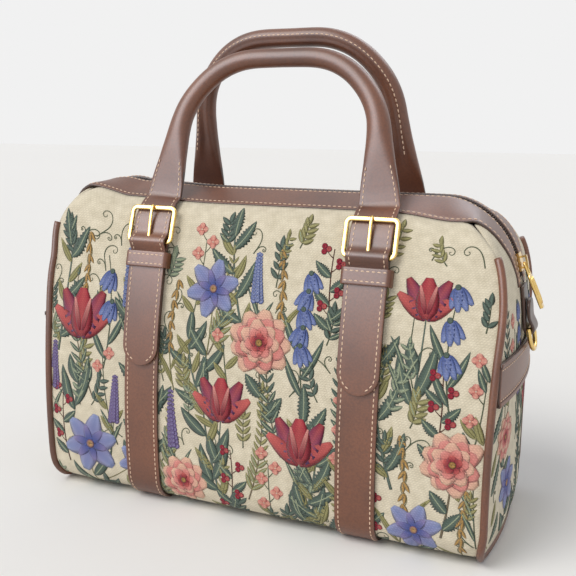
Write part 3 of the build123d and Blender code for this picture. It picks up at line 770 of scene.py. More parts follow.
class Figure:
    # gathers elements on a flat canvas of x and y-up millimetres, then lays them on the cloth

    def __init__(self, seed):
        self.pick = random.Random(seed)
        self.grids = []
        self.blooms = []

    def grid(self, points, colours, layer):
        self.grids.append((np.asarray(points, float), np.asarray(colours, float), layer))

    def spine(self, points, widths, inner, outer, layer, across=3):
        # a tapering run along a smooth line; colours go from the middle to the sides
        points = np.asarray(points, float)
        tangent = np.gradient(points, axis=0)
        tangent /= np.maximum(np.linalg.norm(tangent, axis=1, keepdims=True), 1e-9)
        side = np.stack([-tangent[:, 1], tangent[:, 0]], 1)
        reach = np.linspace(-1, 1, across)
        widths = np.asarray(widths, float)
        grid = points[:, None] + side[:, None] * (widths[:, None] * reach[None])[..., None]
        mixing = np.abs(reach)[None, :, None] * np.ones((len(points), 1, 1))
        inner, outer = (np.broadcast_to(np.asarray(c, float), (len(points), 3))[:, None] for c in (inner, outer))
        self.grid(grid, inner * (1 - mixing) + outer * mixing, layer)

    def line(self, start, angle, length, bend, count=14):
        # a run of points that starts at an angle and turns evenly by bend, in degrees
        step = length / (count - 1)
        turns = np.radians(angle + bend * np.arange(count - 1) / (count - 1))
        moves = np.stack([np.cos(turns), np.sin(turns)], 1) * step
        return np.r_[[start], np.asarray(start) + np.cumsum(moves, 0)]

    def leaf(self, start, angle, length, width, bend=0, dark="leafDark", light="leaf", vein="leafLight", teeth=0):
        count = (8 if length < 9 else 12) if teeth == 0 else 21
        path = self.line(start, angle, length, bend, count)
        t = np.linspace(0, 1, count)
        half = width / 2 * np.sin(math.pi * t ** 0.8) ** 0.85 + 0.15
        if teeth:
            half *= 1 + 0.22 * ((np.arange(count) % 2) * 2 - 1) * np.sin(math.pi * t)
        self.spine(path, half, dye[light], dye[dark], 1, across=3 if length < 9 else 5)
        if length > 9:
            self.spine(path[1:-2], np.full(count - 3, 0.34), dye[vein], dye[vein], 2, across=2)

    def stem(self, points, width=0.9, colour="stem"):
        t = np.linspace(1, 0.55, len(points))
        self.spine(points, width / 2 * t, dye[colour], dye[colour] * 0.8, 0, across=3)

    def facing(self, path, k):
        return math.degrees(math.atan2(*(path[k] - path[k - 1])[::-1]))

    def stalk(self, start, height, lean, curl, count, width, colour="stem"):
        # a stem that leaves its foot at lean from upright and turns back by curl times as much
        path = self.line(start, 90 + lean, height, -lean * curl, count)
        self.stem(path, width, colour)
        return path

    def petal(self, centre, angle, inner, outer, width, base, tip, layer=3, ridge=None):
        t = np.linspace(0, 1, 7)
        direction = np.array([math.cos(angle), math.sin(angle)])
        path = np.asarray(centre) + direction * (inner + (outer - inner) * t)[:, None]
        half = width / 2 * np.sin(math.pi * (0.08 + 0.86 * t ** 0.75)) ** 0.7
        blend = t[:, None] ** 1.3
        tone = dye[base] * (1 - blend) + dye[tip] * blend
        self.spine(path, half, tone if ridge is None else tone * 0.5 + dye[ridge] * 0.5, tone, layer, across=5)

    def disc(self, centre, radius, middle, rim, layer=4):
        angle = np.linspace(0, 2 * math.pi, 11)
        ring = np.stack([np.cos(angle), np.sin(angle)], 1)
        grid = np.asarray(centre) + ring[:, None] * np.array([0.02, 0.6, 1.0])[None, :, None] * radius
        colours = np.stack([dye[middle], dye[middle] * 0.6 + dye[rim] * 0.4, dye[rim]])[None].repeat(11, 0)
        self.grid(grid, colours, layer)

    def rosette(self, centre, radius, count, width, base, tip, inner, ridge=None, layer=3, start=0.0):
        for k in range(count):
            angle = start + 2 * math.pi * k / count + self.pick.uniform(-0.06, 0.06)
            reach = radius * self.pick.uniform(0.9, 1.04)
            self.petal(centre, angle, radius * inner, reach, width, base, tip, layer, ridge=ridge)

    def free(self, spot, radius, keepOut=True):
        # remembers where blooms are, so that no small one lands on another
        if keepOut and any(math.dist(spot, at) < radius + other for at, other in self.blooms):
            return False
        self.blooms.append((tuple(spot), radius))
        return True

    # plants, each with its foot at start

    def tulip(self, start, height, lean, size):
        path = self.stalk(start, height, lean, 0.8, 20, 1.3, "leaf")
        top = path[-1]
        self.free(top + [0, size * 0.3], size * 0.45, False)
        for angle, reach, wide, base, tip, layer in (
                (62, 0.86, 0.36, "plum", "crimson", 3), (118, 0.86, 0.36, "plum", "crimson", 3),
                (38, 0.74, 0.3, "crimson", "coral", 3), (142, 0.74, 0.3, "crimson", "coral", 3),
                (90, 0.8, 0.46, "crimson", "red", 4)):
            self.petal(top, math.radians(angle), 0, size * reach, size * wide, base, tip, layer, "coral")
        for way in (-1, 1):
            self.petal(top, math.radians(90 + way * 14), size * 0.1, size * 0.66, size * 0.1, "crimson", "pink", 5)
        for share, way, reach in ((0.02, 1, 0.62), (0.06, -1, 0.75), (0.4, 1, 0.4)):
            self.leaf(path[int(share * 19)], 90 + way * 30, height * reach, 8, -way * 26)

    def rose(self, start, height, lean, size):
        path = self.stalk(start, height, lean, 1, 18, 1.5, "twig")
        top = path[-1]
        self.free(top, size * 0.5, False)
        for k, (reach, count, wide, base, tip) in enumerate((
                (0.5, 9, 0.36, "pink", "peach"), (0.42, 8, 0.32, "coral", "pink"), (0.33, 7, 0.28, "pink", "peach"),
                (0.24, 6, 0.22, "coral", "pink"), (0.15, 5, 0.16, "crimson", "coral"))):
            self.rosette(top, size * reach, count, size * wide, base, tip, 0.2, None, 3 + k, k * 0.4)
        self.disc(top, size * 0.06, "ochre", "brown", 8)
        for share, way in ((0.15, -1), (0.4, 1), (0.7, -1)):
            self.leaf(path[int(share * 17)], 90 + way * 46, size * 0.42, size * 0.2, -way * 14, teeth=1)

    def bells(self, start, height, lean, size):
        path = self.stalk(start, height, lean, 2.2, 24, 1.0)
        for k in range(9, 24, 3):
            way = 1 if k % 2 else -1
            twig = self.line(path[k], 90 + way * 55, size * 0.3, -way * 120, 7)
            spot, down = twig[-1], -math.pi / 2 + way * 0.25
            if not self.free(spot + [0, -size * 0.2], size * 0.2):
                continue
            self.stem(twig, 0.6)
            for turn, reach, layer in ((-0.5, 0.5, 3), (0.5, 0.5, 3), (-0.18, 0.55, 4), (0.18, 0.55, 4)):
                self.petal(spot, down + turn, 0, size * reach, size * 0.22, "blue", "sky", layer, "mist")
            self.disc(spot, size * 0.07, "leaf", "leafDark", 5)
        for share, way in ((0.1, 1), (0.25, -1), (0.42, 1)):
            self.leaf(path[int(share * 23)], 90 + way * 34, height * 0.34, 4.6, -way * 16)

    def plume(self, start, height, lean, tone):
        path = self.stalk(start, height, lean, 1, 26, 0.8)
        first, second = ("plum", "lilac") if tone else ("blue", "mist")
        if self.free(path[19], 7):
            for k in range(12, 26):
                size = 2.1 * (1 - 0.55 * (k - 12) / 14)
                for way in (-1, 0, 1):
                    spot = path[k] + np.array([way * size * 1.15, abs(way) * -0.6])
                    self.disc(spot, size, second, first, 3 + (way == 0))
        for k, way in ((2, 1), (4, -1), (7, 1)):
            self.leaf(path[k], 90 + way * 20, height * 0.34, 2.6, way * 14, "leafDark", "leaf")

    def star(self, start, height, lean, size):
        path = self.stalk(start, height, lean, 1.4, 18, 1.0, "olive")
        side = self.line(path[7], 90 - lean * 2 - 40, size * 0.95, 14, 9)
        for top, scale in ((path[-1], 1), (side[-1], 0.66)):
            radius = size / 2 * scale
            if not self.free(top, radius):
                continue
            if scale < 1:
                self.stem(side, 0.8, "olive")
            self.rosette(top, radius, 6, radius * 0.66, "lilac", "mist", 0.05, "sky", 3, 0.3)
            self.rosette(top, radius * 0.62, 6, radius * 0.3, "blue", "lilac", 0.05, None, 4, 0.82)
            self.disc(top, radius * 0.15, "ochre", "plum", 5)
        for share, way in ((0.12, -1), (0.3, 1), (0.55, -1)):
            self.leaf(path[int(share * 17)], 90 + way * 48, size * 0.62, 7, -way * 24, "leafDark", "leaf")

    def fern(self, start, height, lean, wide=9, dark="leafDark", light="leaf"):
        path = self.stalk(start, height, lean, 1.2, 24, 1.0, "twig")
        for k in range(3, 23, 2):
            reach = wide * (1.15 - 0.75 * k / 23)
            facing = self.facing(path, k)
            for way in (1, -1):
                self.leaf(path[k], facing + way * 42, reach, reach * 0.26, -way * 10, dark, light)
        self.leaf(path[-1], 90, wide * 0.5, wide * 0.2, 0, dark, light)

    def branch(self, start, height, lean, size=24, teeth=0):
        path = self.stalk(start, height, lean, 0.9, 22, 1.9, "leaf")
        for k in range(3, 22, 4):
            facing = self.facing(path, k)
            way = 1 if (k // 4) % 2 else -1
            reach = size * self.pick.uniform(0.85, 1.1)
            self.leaf(path[k], facing + way * 52, reach, size * 0.3, -way * 28, teeth=teeth)
            self.leaf(path[k - 1], facing - way * 40, size * 0.7, size * 0.2, way * 18, *olives)
        self.leaf(path[-1], 90 - lean * 0.2, size * 0.9, size * 0.27, 12, teeth=teeth)

    def oats(self, start, height, lean, size):
        path = self.stalk(start, height, lean, 2, 20, 0.9, "olive")
        for k in range(7, 20, 2):
            way = 1 if (k // 2) % 2 else -1
            twig = self.line(path[k], 90 + way * 40, size * 0.34, -way * 90, 6)
            self.stem(twig, 0.5, "olive")
            for turn in (-16, 16):
                self.leaf(twig[-1], -90 + way * 18 + turn, size * 0.26, size * 0.09, 0, "twig", "ochre", "cream")
        for share, way in ((0.1, 1), (0.22, -1)):
            self.leaf(path[int(share * 19)], 90 + way * 22, height * 0.5, 3.2, way * 30, *olives)

    def berries(self, start, height, lean):
        path = self.stalk(start, height, lean, 1.5, 20, 1.0, "brown")
        for k in range(5, 20, 3):
            way = 1 if k % 2 else -1
            twig = self.line(path[k], 90 + way * 52, 7.5, -way * 20, 5)
            if not self.free(twig[-1], 3.4):
                continue
            self.stem(twig, 0.6, "brown")
            for turn in (0, 2.1, 4.2):
                spot = twig[-1] + np.array([math.cos(turn), math.sin(turn)]) * 1.9
                self.disc(spot, 1.9, "coral" if turn == 0 else "red", "crimson", 3)
        for k, way in ((2, 1), (4, -1), (7, 1), (10, -1), (13, 1)):
            self.leaf(path[k], 90 + way * 58, 14, 5.6, -way * 20, "leafDark", "leaf", teeth=1)

    def blossoms(self, start, height, lean):
        path = self.stalk(start, height, lean, 1, 22, 0.9)
        for k, way in ((9, 1), (12, -1), (15, 1), (18, -1), (21, 1)):
            twig = self.line(path[k], 90 + way * 46, 8.5, -way * 30, 6)
            if not self.free(twig[-1], 4.2):
                continue
            self.stem(twig, 0.6, "stem")
            self.rosette(twig[-1], 4.3, 4, 4.6, "coral", "pink", 0.1, "peach", 3)
            self.disc(twig[-1], 0.8, "cream", "coral", 4)
        for k, way in ((3, 1), (5, -1), (8, 1)):
            self.leaf(path[k], 90 + way * 50, 14, 4.2, -way * 16, *olives)

    def tendril(self, start, angle, size, way):
        for turns, scale in ((7.5, 1.0), (-9.5, 0.6)):
            turn = np.linspace(0, 1, 22)
            heading = np.radians(angle) + way * (turn**2) * turns
            steps = size * scale * 0.088 * (1.35 - turn)
            moves = np.stack([np.cos(heading), np.sin(heading)], 1) * steps[:, None]
            self.stem(np.r_[[start], np.asarray(start) + np.cumsum(moves, 0)], 0.7, "stem")

    def sprig(self, start, height, lean, size=8, dark="leafDark", light="leaf"):
        path = self.stalk(start, height, lean, 1, 14, 0.8)
        for k in range(3, 14, 3):
            for way in (1, -1):
                reach = size * self.pick.uniform(0.8, 1.1)
                self.leaf(path[k], 90 + lean + way * 50, reach, size * 0.36, -way * 15, dark, light)
        self.leaf(path[-1], 90, size, size * 0.4, 0, dark, light)

    def lay(self, place, keep):
        # each element is a closed shell: its face stands a little over the cloth, over a keel sunk into it
        points, faces, uvs, colours = [], [], [], []
        start = 0
        for grid, tone, layer in self.grids:
            if not keep(grid):
                continue
            rows, columns = grid.shape[:2]
            middle = grid.mean(1)
            top = place(grid[..., 0], grid[..., 1], np.full(grid.shape[:2], 0.16 + 0.035 * layer))
            keel = place(middle[:, 0], middle[:, 1], np.full(rows, -0.25))
            points += [top.reshape(-1, 3), keel]
            uvs += [grid.reshape(-1, 2), middle]
            colours += [tone.reshape(-1, 3), tone.mean(1)]
            faces += gridFaces(rows, columns, start)
            left = [start + r * columns for r in range(rows)]
            right = [i + columns - 1 for i in left]
            below = [start + rows * columns + r for r in range(rows)]
            for r in range(rows - 1):
                faces.append((left[r], left[r + 1], below[r + 1], below[r]))
                faces.append((right[r], below[r], below[r + 1], right[r + 1]))
            for r in (0, rows - 1):
                faces += [(left[r] + c, below[r], left[r] + c + 1) for c in range(columns - 1)]
            start += rows * (columns + 1)
        return np.concatenate(points), faces, np.concatenate(uvs), np.concatenate(colours)


def plantRows(kind, m, rows):
    for spot, height, lean, *rest in rows:
        kind((m * spot[0], spot[1]), height, m * lean, *rest)


def plantFace(figure, mirror):
    # one face of the bag: x from -150 to 150 and y-up from 0 at the foot to about 190
    m = -1 if mirror else 1
    big = [
        ("rose", (16, 70), 52, 14, 42), ("tulip", (-128, 60), 52, -10, 40), ("star", (-112, -14), 52, 12, 44),
        ("tulip", (44, 4), 46, 12, 36), ("bells", (128, 92), 74, 12, 26), ("rose", (126, 20), 46, -12, 38),
        ("star", (-30, 92), 60, -12, 38), ("tulip", (-22, 26), 44, -14, 34), ("bells", (-104, 92), 74, -12, 26),
        ("rose", (-40, -16), 40, 10, 34), ("star", (108, -24), 46, -8, 34), ("bells", (40, 84), 84, 10, 24),
        ("tulip", (106, 96), 50, -8, 30),
    ]
    for kind, spot, height, lean, size in big:
        getattr(figure, kind)((m * spot[0], spot[1]), height, m * lean, size)
    plantRows(figure.branch, m, (
            ((-6, -8), 96, 24, 27, 0), ((-146, -10), 84, 16, 26, 1), ((60, -14), 92, 22, 27, 1),
            ((132, 36), 96, -24, 24, 0), ((-62, 48), 110, 20, 24, 1), ((30, -10), 70, -28, 24, 0),
            ((6, 108), 80, 26, 24, 1), ((-88, -6), 84, -22, 25, 0),
            ((96, 44), 80, 18, 25, 1), ((-142, 100), 70, -10, 24, 1), ((-16, 60), 64, 40, 22, 0)))
    for spot, height, lean, wide in (((-66, -4), 80, -22, 12), ((76, 46), 76, 24, 13), ((-112, 70), 84, 26, 12),
                                     ((26, 52), 72, 20, 12), ((144, 100), 70, -18, 13), ((-26, 110), 66, -26, 12),
                                     ((86, 96), 70, 16, 12), ((4, 20), 60, -20, 11)):
        olive = ("olive", "oliveLight") if figure.pick.random() < 0.4 else ("leafDark", "leaf")
        figure.fern((m * spot[0], spot[1]), height, m * lean, wide, *olive)
    plantRows(figure.plume, m, (((-46, 14), 70, 10, 1), ((98, 96), 66, -10, 1), ((-84, 104), 68, 8, 0),
                                     ((36, 30), 56, -14, 1), ((146, 16), 64, 6, 0), ((-148, 46), 60, -6, 1),
                                     ((10, 122), 54, 12, 0), ((-100, 30), 58, -10, 1)))
    plantRows(figure.oats, m, (((18, 112), 60, -14, 26), ((100, 4), 66, -12, 28), ((-118, 112), 58, 10, 26),
                                     ((-50, 84), 64, 14, 26), ((140, -12), 56, 10, 26)))
    plantRows(figure.berries, m, (
            ((-14, -8), 60, -18), ((86, -12), 60, 12), ((-80, 44), 58, -16), ((54, 128), 54, 8),
            ((120, 60), 56, -10), ((-134, 22), 54, 12)))
    plantRows(figure.blossoms, m, (
            ((-10, 86), 72, 12), ((138, 60), 60, -16), ((-94, 40), 66, 18), ((62, 24), 62, -10),
            ((-40, 128), 54, -12), ((22, -12), 58, 8)))
    pick = figure.pick
    for row in range(11):
        for column in range(17):
            spot = (m * (-146 + column * 18 + pick.uniform(-5, 5)), row * 18 - 4 + pick.uniform(-5, 5))
            if not figure.free(np.add(spot, [0, 5]), 4.5):
                continue
            if pick.random() < 0.4:
                figure.tendril(spot, pick.uniform(30, 150), pick.uniform(12, 20), pick.choice((1, -1)))
            else:
                tones = pick.choice((("leafDark", "leaf"), ("olive", "oliveLight"), ("leaf", "leafLight")))
                figure.sprig(spot, pick.uniform(14, 24), pick.uniform(-40, 40), pick.uniform(5, 9), *tones)


def figureOn(name, figure, place, keep):
    points, faces, uv, colours = figure.lay(place, keep)
    piece = makePiece(name, points, faces, [figured], uv=uv, colours=colours)
    return dress(turnOut(piece, merge=False), "bag", "tapestry")


footS = halfLength - 52
faceHeight = footS - seamS


def frontPlace(x, y, h):
    return onCloth(x, footS - y, h)


def backPlace(x, y, h):
    return onCloth(-x, 2 * halfLength - (footS - y), h)


def keepOnFace(grid):
    x, y = grid[..., 0], grid[..., 1]
    s = footS - y
    z = np.interp(s, secLen, secZ)
    rim = rimAt(z, np.interp(s, secLen, secY)) - 2.2
    return bool((np.abs(x) < rim).all() and (y < faceHeight - 0.5).all() and (y > -48).all())


for name, seed, place, mirror in (("figureFront", 11, frontPlace, False), ("figureBack", 23, backPlace, True)):
    figure = Figure(seed)
    plantFace(figure, mirror)
    piece = figureOn(name, figure, place, keepOnFace)
    print(name, len(piece.data.polygons), "faces")


def plantEnd(figure):
    for kind, spot, height, lean, size in (("star", (-24, -4), 44, 10, 34), ("tulip", (26, 28), 42, -10, 32),
                                           ("bells", (-20, 96), 52, -8, 22), ("rose", (-34, 44), 28, 8, 30),
                                           ("bells", (34, 88), 56, 8, 22)):
        getattr(figure, kind)(spot, height, lean, size)
    plantRows(figure.branch, 1, (((-50, 0), 84, 12, 22, 1), ((46, 50), 80, -18, 22, 1), ((4, 50), 78, -12, 20, 1)))
    plantRows(figure.fern, 1, (((-40, 84), 66, 10, 11), ((10, 10), 60, 24, 11), ((30, 100), 60, 8, 11)))
    figure.plume((-6, 64), 60, 8, 1)
    figure.berries((44, 2), 50, -12)
    figure.blossoms((-36, 84), 50, -14)
    figure.oats((14, 84), 60, 10, 24)
    pick = figure.pick
    for k in range(90):
        spot = (pick.uniform(-60, 60), pick.uniform(2, 150))
        if not figure.free(spot, 5):
            continue
        if k % 2:
            figure.tendril(spot, pick.uniform(30, 150), pick.uniform(12, 18), pick.choice((1, -1)))
        else:
            figure.sprig(spot, pick.uniform(14, 22), pick.uniform(-40, 40), pick.uniform(5, 8))


def keepOnEnd(grid):
    w = outlineLength - grid[..., 1]
    z = np.interp(w, outLen, outZ)
    inside = np.abs(grid[..., 0]) < halfDepthAt(z) - 3.2
    clear = (z < 156) | (np.abs(grid[..., 0]) > bandHalfAt(z) + 0.5)
    return bool((inside & clear).all() and (z > 4).all() and (z < 192).all())


for sideName, side in (("Left", -1), ("Right", 1)):
    figure = Figure(41 + side)
    plantEnd(figure)
    place = lambda a, b, h, side=side: onGusset(side, a * side, outlineLength - b, h)
    figureOn("figureEnd" + sideName, figure, place, keepOnEnd)
print("figure laid")


# ---- straps sewn round the bag

sewn = {"centre": 74.0, "half": 12.5, "endRadius": 12.4, "thick": 2.0, "lift": 0.3, "topZ": 190.0, "step": 4.0}


for sideName, side in sides:
    centre = side * sewn["centre"]
    place = lambda s, a, h, centre=centre: onBody(centre + a, s, h)
    low, high = sFromZ(sewn["topZ"]), 2 * halfLength - sFromZ(sewn["topZ"])
    stations = stationsBetween(low, high, sewn["step"], ((low, 12.5), (high, -12.5)))
    half = roundedHalf(stations, sewn["half"], (low, high), sewn["endRadius"])
    piece = strapPiece("sewnStrap" + sideName.title(), place, stations, half, sewn["thick"], sewn["lift"],
                       [tan, tanEdge])
    dress(piece, "bag", "leather", "strap_" + sideName)
    inset = stitch["inset"]
    along = np.linspace(low + 2.6, high - 2.6, 400)
    edge = roundedHalf(along, sewn["half"] - inset, (low + inset, high - inset), sewn["endRadius"] - inset)
    for way in (1, -1):
        bagSeeds.append(seedsOn(place, along, way * edge, sewn["lift"] + sewn["thick"]))


# ---- handles with their buckled ends, each one strip of leather from tip to tip

grip = {
    "flex": 23.0, "toe": 34.5, "heel": 54.5, "keeper": 66.0, "keeperHalf": 5.0, "half": 13.0, "thick": 2.0,
    "midHeight": 3.6, "rise": 4.2, "tipZ": 96.0, "spread": 74.0, "shoulder": 67.0, "crown": 40.0,
    "shoulderDrop": 31.0, "bend": 48.0,
    "lengths": {"front": 92.0, "back": 104.0}, "leans": {"front": 16.0, "back": 12.0}, "crownTube": 5.9,
    # half width and half depth at distances up from the flex line, how square the section is,
    # and the groove where the leg's back is folded together
    "wide": ([0, 10, 24, 38, 54, 74], [12.9, 12.0, 10.0, 8.3, 7.0, 6.5]),
    "deep": ([0, 8, 18, 32, 46, 60], [1.0, 1.35, 2.6, 4.6, 6.0, 6.4]),
    "power": ([0, 12, 26, 44], [9, 6, 3, 2]),
    "groove": ([0, 8, 22, 40, 60, 90], [0, 0, 1.6, 2.4, 1.2, 0.7]),
    "blendWay": (0.679, 0.734), "blendHalf": 3.2,
}


def bentLine(points, radius):
    # straight runs joined by tangent arcs
    out = [points[0]]
    for a, b, c in zip(points, points[1:], points[2:]):
        u, v = (a - b) / np.linalg.norm(a - b), (c - b) / np.linalg.norm(c - b)
        half = math.acos(np.clip(u @ v, -1, 1)) / 2
        reach = radius / math.tan(half)
        middle = b + (u + v) / np.linalg.norm(u + v) * radius / math.sin(half)
        first, last = b + u * reach - middle, b + v * reach - middle
        for t in np.linspace(0, 1, 16):
            spoke = first * (1 - t) + last * t
            out.append(middle + spoke / np.linalg.norm(spoke) * radius)
    return np.array(out + [points[-1]])


def evenly(points, step):
    length = np.r_[0, np.cumsum(np.linalg.norm(np.diff(points, axis=0), axis=1))]
    at = np.linspace(0, length[-1], int(length[-1] / step) + 1)
    return np.stack([np.interp(at, length, points[:, i]) for i in range(points.shape[1])], 1), at


def endHeight(d):
    spread = grip["keeper"] - grip["keeperHalf"] - grip["heel"]
    away = np.minimum(np.abs(d - grip["heel"]) / spread, 1)
    return grip["midHeight"] + grip["rise"] * (1 + np.cos(math.pi * away)) / 2


def makeHandle(faceName):
    out = -1 if faceName == "front" else 1
    lean, rise = math.radians(grip["leans"][faceName]), grip["lengths"][faceName]
    # the buckled end, from its tip up to the flex line
    tipS = sFromZ(grip["tipZ"])
    s = stationsBetween(grip["flex"] + ridgeLength, tipS, 2.2, ((tipS, -13.0),))[::-1]
    d = s - ridgeLength
    sAll = s if out < 0 else 2 * halfLength - s
    height = endHeight(d)
    middle = lifted(wrapPlain, np.zeros(len(s)), sAll, height, -1)
    normal = lifted(wrapPlain, np.zeros(len(s)), sAll, height + 1, -1) - middle
    z = np.interp(s, secLen, secZ)
    tipCentre = grip["tipZ"] + grip["half"]
    tipHalf = np.sqrt(np.maximum(grip["half"] ** 2 - (tipCentre - z) ** 2, 0.1))
    half = np.where(z < tipCentre, tipHalf, grip["half"])
    # the leg and tube, in the handle's own leaning plane
    up = np.array([0, -out * math.sin(lean), math.cos(lean)])
    face = np.array([0, out * math.cos(lean), math.sin(lean)])
    flex = middle[-1] * [0, 1, 1]
    foot, shoulder = np.array([grip["spread"], 0.0]), np.array([grip["shoulder"], rise - grip["shoulderDrop"]])
    crown = np.array([grip["crown"], rise])
    route = [foot, shoulder, crown, crown * [-1, 1], shoulder * [-1, 1], foot * [-1, 1]]
    plane, at = evenly(bentLine(route, grip["bend"]), 3.0)
    plane = eased(plane, 6)
    total = at[-1]
    fromFoot = np.minimum(at, total - at)
    line = flex + plane[:, :1] * [-1, 0, 0] + plane[:, 1:] * up
    wide, deep = (np.interp(fromFoot, grip[key][0] + [total / 2], grip[key][1] + [grip["crownTube"]])
                  for key in ("wide", "deep"))
    power, groove = (np.interp(fromFoot, *grip[key]) for key in ("power", "groove"))
    left = middle + [-grip["spread"], 0, 0]
    # one run: left tip, left leg, crown, right leg, right tip
    centres = np.concatenate([left[:-1], line, (middle + [grip["spread"], 0, 0])[:-1][::-1]])
    facing = np.concatenate([normal[:-1], np.repeat(face[None], len(line), 0), normal[:-1][::-1]])
    ease = len(left) - 1
    for _ in range(3):
        for a in (ease, ease + len(line) - 1):
            window = slice(a - 3, a + 4)
            facing[window] = (facing[a - 4:a + 3] + facing[window] + facing[a - 2:a + 5]) / 3
    facing = unit(facing)
    flat = np.full(len(left) - 1, grip["thick"] / 2)
    a = np.concatenate([half[:-1], wide, half[:-1][::-1]])
    b = np.concatenate([flat, deep, flat])
    p = np.concatenate([flat * 0 + 9, power, flat * 0 + 9])
    g = np.concatenate([flat * 0, groove, flat * 0])
    across = unit(np.cross(unit(np.gradient(centres, axis=0)), facing))
    u, v = squareRound(a, b, p, 36)
    v = v + np.where(v < 0, g[:, None] * np.exp(-(u / (0.3 * a[:, None])) ** 2), 0)
    rings = centres[:, None] + across[:, None] * u[..., None] + facing[:, None] * v[..., None]
    points, faces = loft(rings)
    flatHere = (p > 5)[:, None] & (np.abs(u) > a[:, None] * 0.985)
    piece = turnOut(makePiece("handle" + faceName.title(), points, faces, [tan, tanEdge], edgeFaces(flatHere)))
    # stitches down both edges of each flat end, round the tips, and one row by the tube's seam
    seeds = []
    inset = stitch["inset"]
    flatRun = np.where(fromFoot < 26)[0] + ease
    rows = len(centres)
    runs = [np.arange(0, flatRun[flatRun < rows / 2].max() + 1),
            np.arange(flatRun[flatRun > rows / 2].min(), rows)]
    for run in runs:
        c, f, x, w, t = centres[run], facing[run], across[run], a[run], b[run]
        tip = c[0] if run[0] == 0 else c[-1]
        keep = np.linalg.norm(c - tip, axis=1) > inset
        c, f, x, w, t = c[keep], f[keep], x[keep], w[keep], t[keep]
        z = c[:, 2]
        radius = grip["half"] - inset
        w = np.where(z < tipCentre, np.sqrt(np.maximum(radius**2 - (tipCentre - z) ** 2, 0.3)), w - inset)
        for way in (1, -1):
            seeds.append(seedsAlong(c + x * (way * w)[:, None] + f * (t + 0.05)[:, None], f))
    tube = np.where(fromFoot > 30)[0] + ease
    angle = math.radians(-62)
    lay = across[tube] * math.cos(angle) + facing[tube] * math.sin(angle)
    reach = a[tube, None] * 0.97
    seeds.append(seedsAlong(centres[tube] + lay * reach, lay))
    sewing = beadPiece("handleStitches" + faceName.title(), seeds, stitch["length"], stitch["width"],
                       stitch["height"], thread)
    bodyName = "handle_" + faceName
    way = np.array([0, -grip["blendWay"][0] * out, grip["blendWay"][1]]) * grip["blendHalf"]
    for made in (piece, sewing):
        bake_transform(made)
    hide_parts(bodyName, "handle_end_" + faceName + "_left", "handle_end_" + faceName + "_right")


for faceName in ("front", "back"):
    makeHandle(faceName)
print("handles made")


# ---- buckles and keepers

buckle = {
    "width": 34.0, "bar": 3.0, "thick": 2.2, "corner": 4.5, "toeHeight": 6.4, "heelHeight": 4.55,
    "prong": 2.3, "prongHalfThick": 0.7, "curlRadius": 1.55,
}
keeper = {"wide": 10.0, "wall": 1.8, "half": 13.6, "channel": 5.1}


def faceFrame(faceName, d, h):
    # a point over the section with the section's own outward and downward directions
    out = -1 if faceName == "front" else 1
    s = np.array([d + ridgeLength - 0.5, d + ridgeLength, d + ridgeLength + 0.5])
    s = s if out < 0 else 2 * halfLength - s
    p = lifted(wrapPlain, np.zeros(3), s, np.full(3, float(h)), -1)
    down = p[2] - p[0]
    down /= np.linalg.norm(down)
    outward = np.cross(down, [out * -1.0, 0, 0])
    outward *= np.sign(outward[1]) * out
    return p[1], down, outward


def roundedLoop(halfX, halfY, radius, count=8):
    points = []
    for cx, cy, start in ((halfX - radius, halfY - radius, 0), (radius - halfX, halfY - radius, 90),
                          (radius - halfX, radius - halfY, 180), (halfX - radius, radius - halfY, 270)):
        for t in np.radians(np.linspace(start, start + 90, count)):
            points.append((cx + radius * math.cos(t), cy + radius * math.sin(t)))
    return np.array(points)


def sweepFlat(loop, halfWide, halfThick, power, closed, count=16):
    # a section carried round a flat loop: x and y in the loop's plane, z out of it
    if closed:
        tangent = np.roll(loop, -1, 0) - np.roll(loop, 1, 0)
    else:
        tangent = np.gradient(loop, axis=0)
    tangent = unit(tangent)
    side = np.stack([tangent[:, 1], -tangent[:, 0]], 1)
    u, v = squareRound(halfWide, halfThick, power, count)
    flat = loop[:, None] + side[:, None] * u[None, :, None]
    return np.concatenate([flat, np.broadcast_to(v, flat.shape[:2])[..., None]], -1)


def inPlane(points, origin, xAxis, yAxis, zAxis):
    return origin + points[..., :1] * xAxis + points[..., 1:2] * yAxis + points[..., 2:] * zAxis


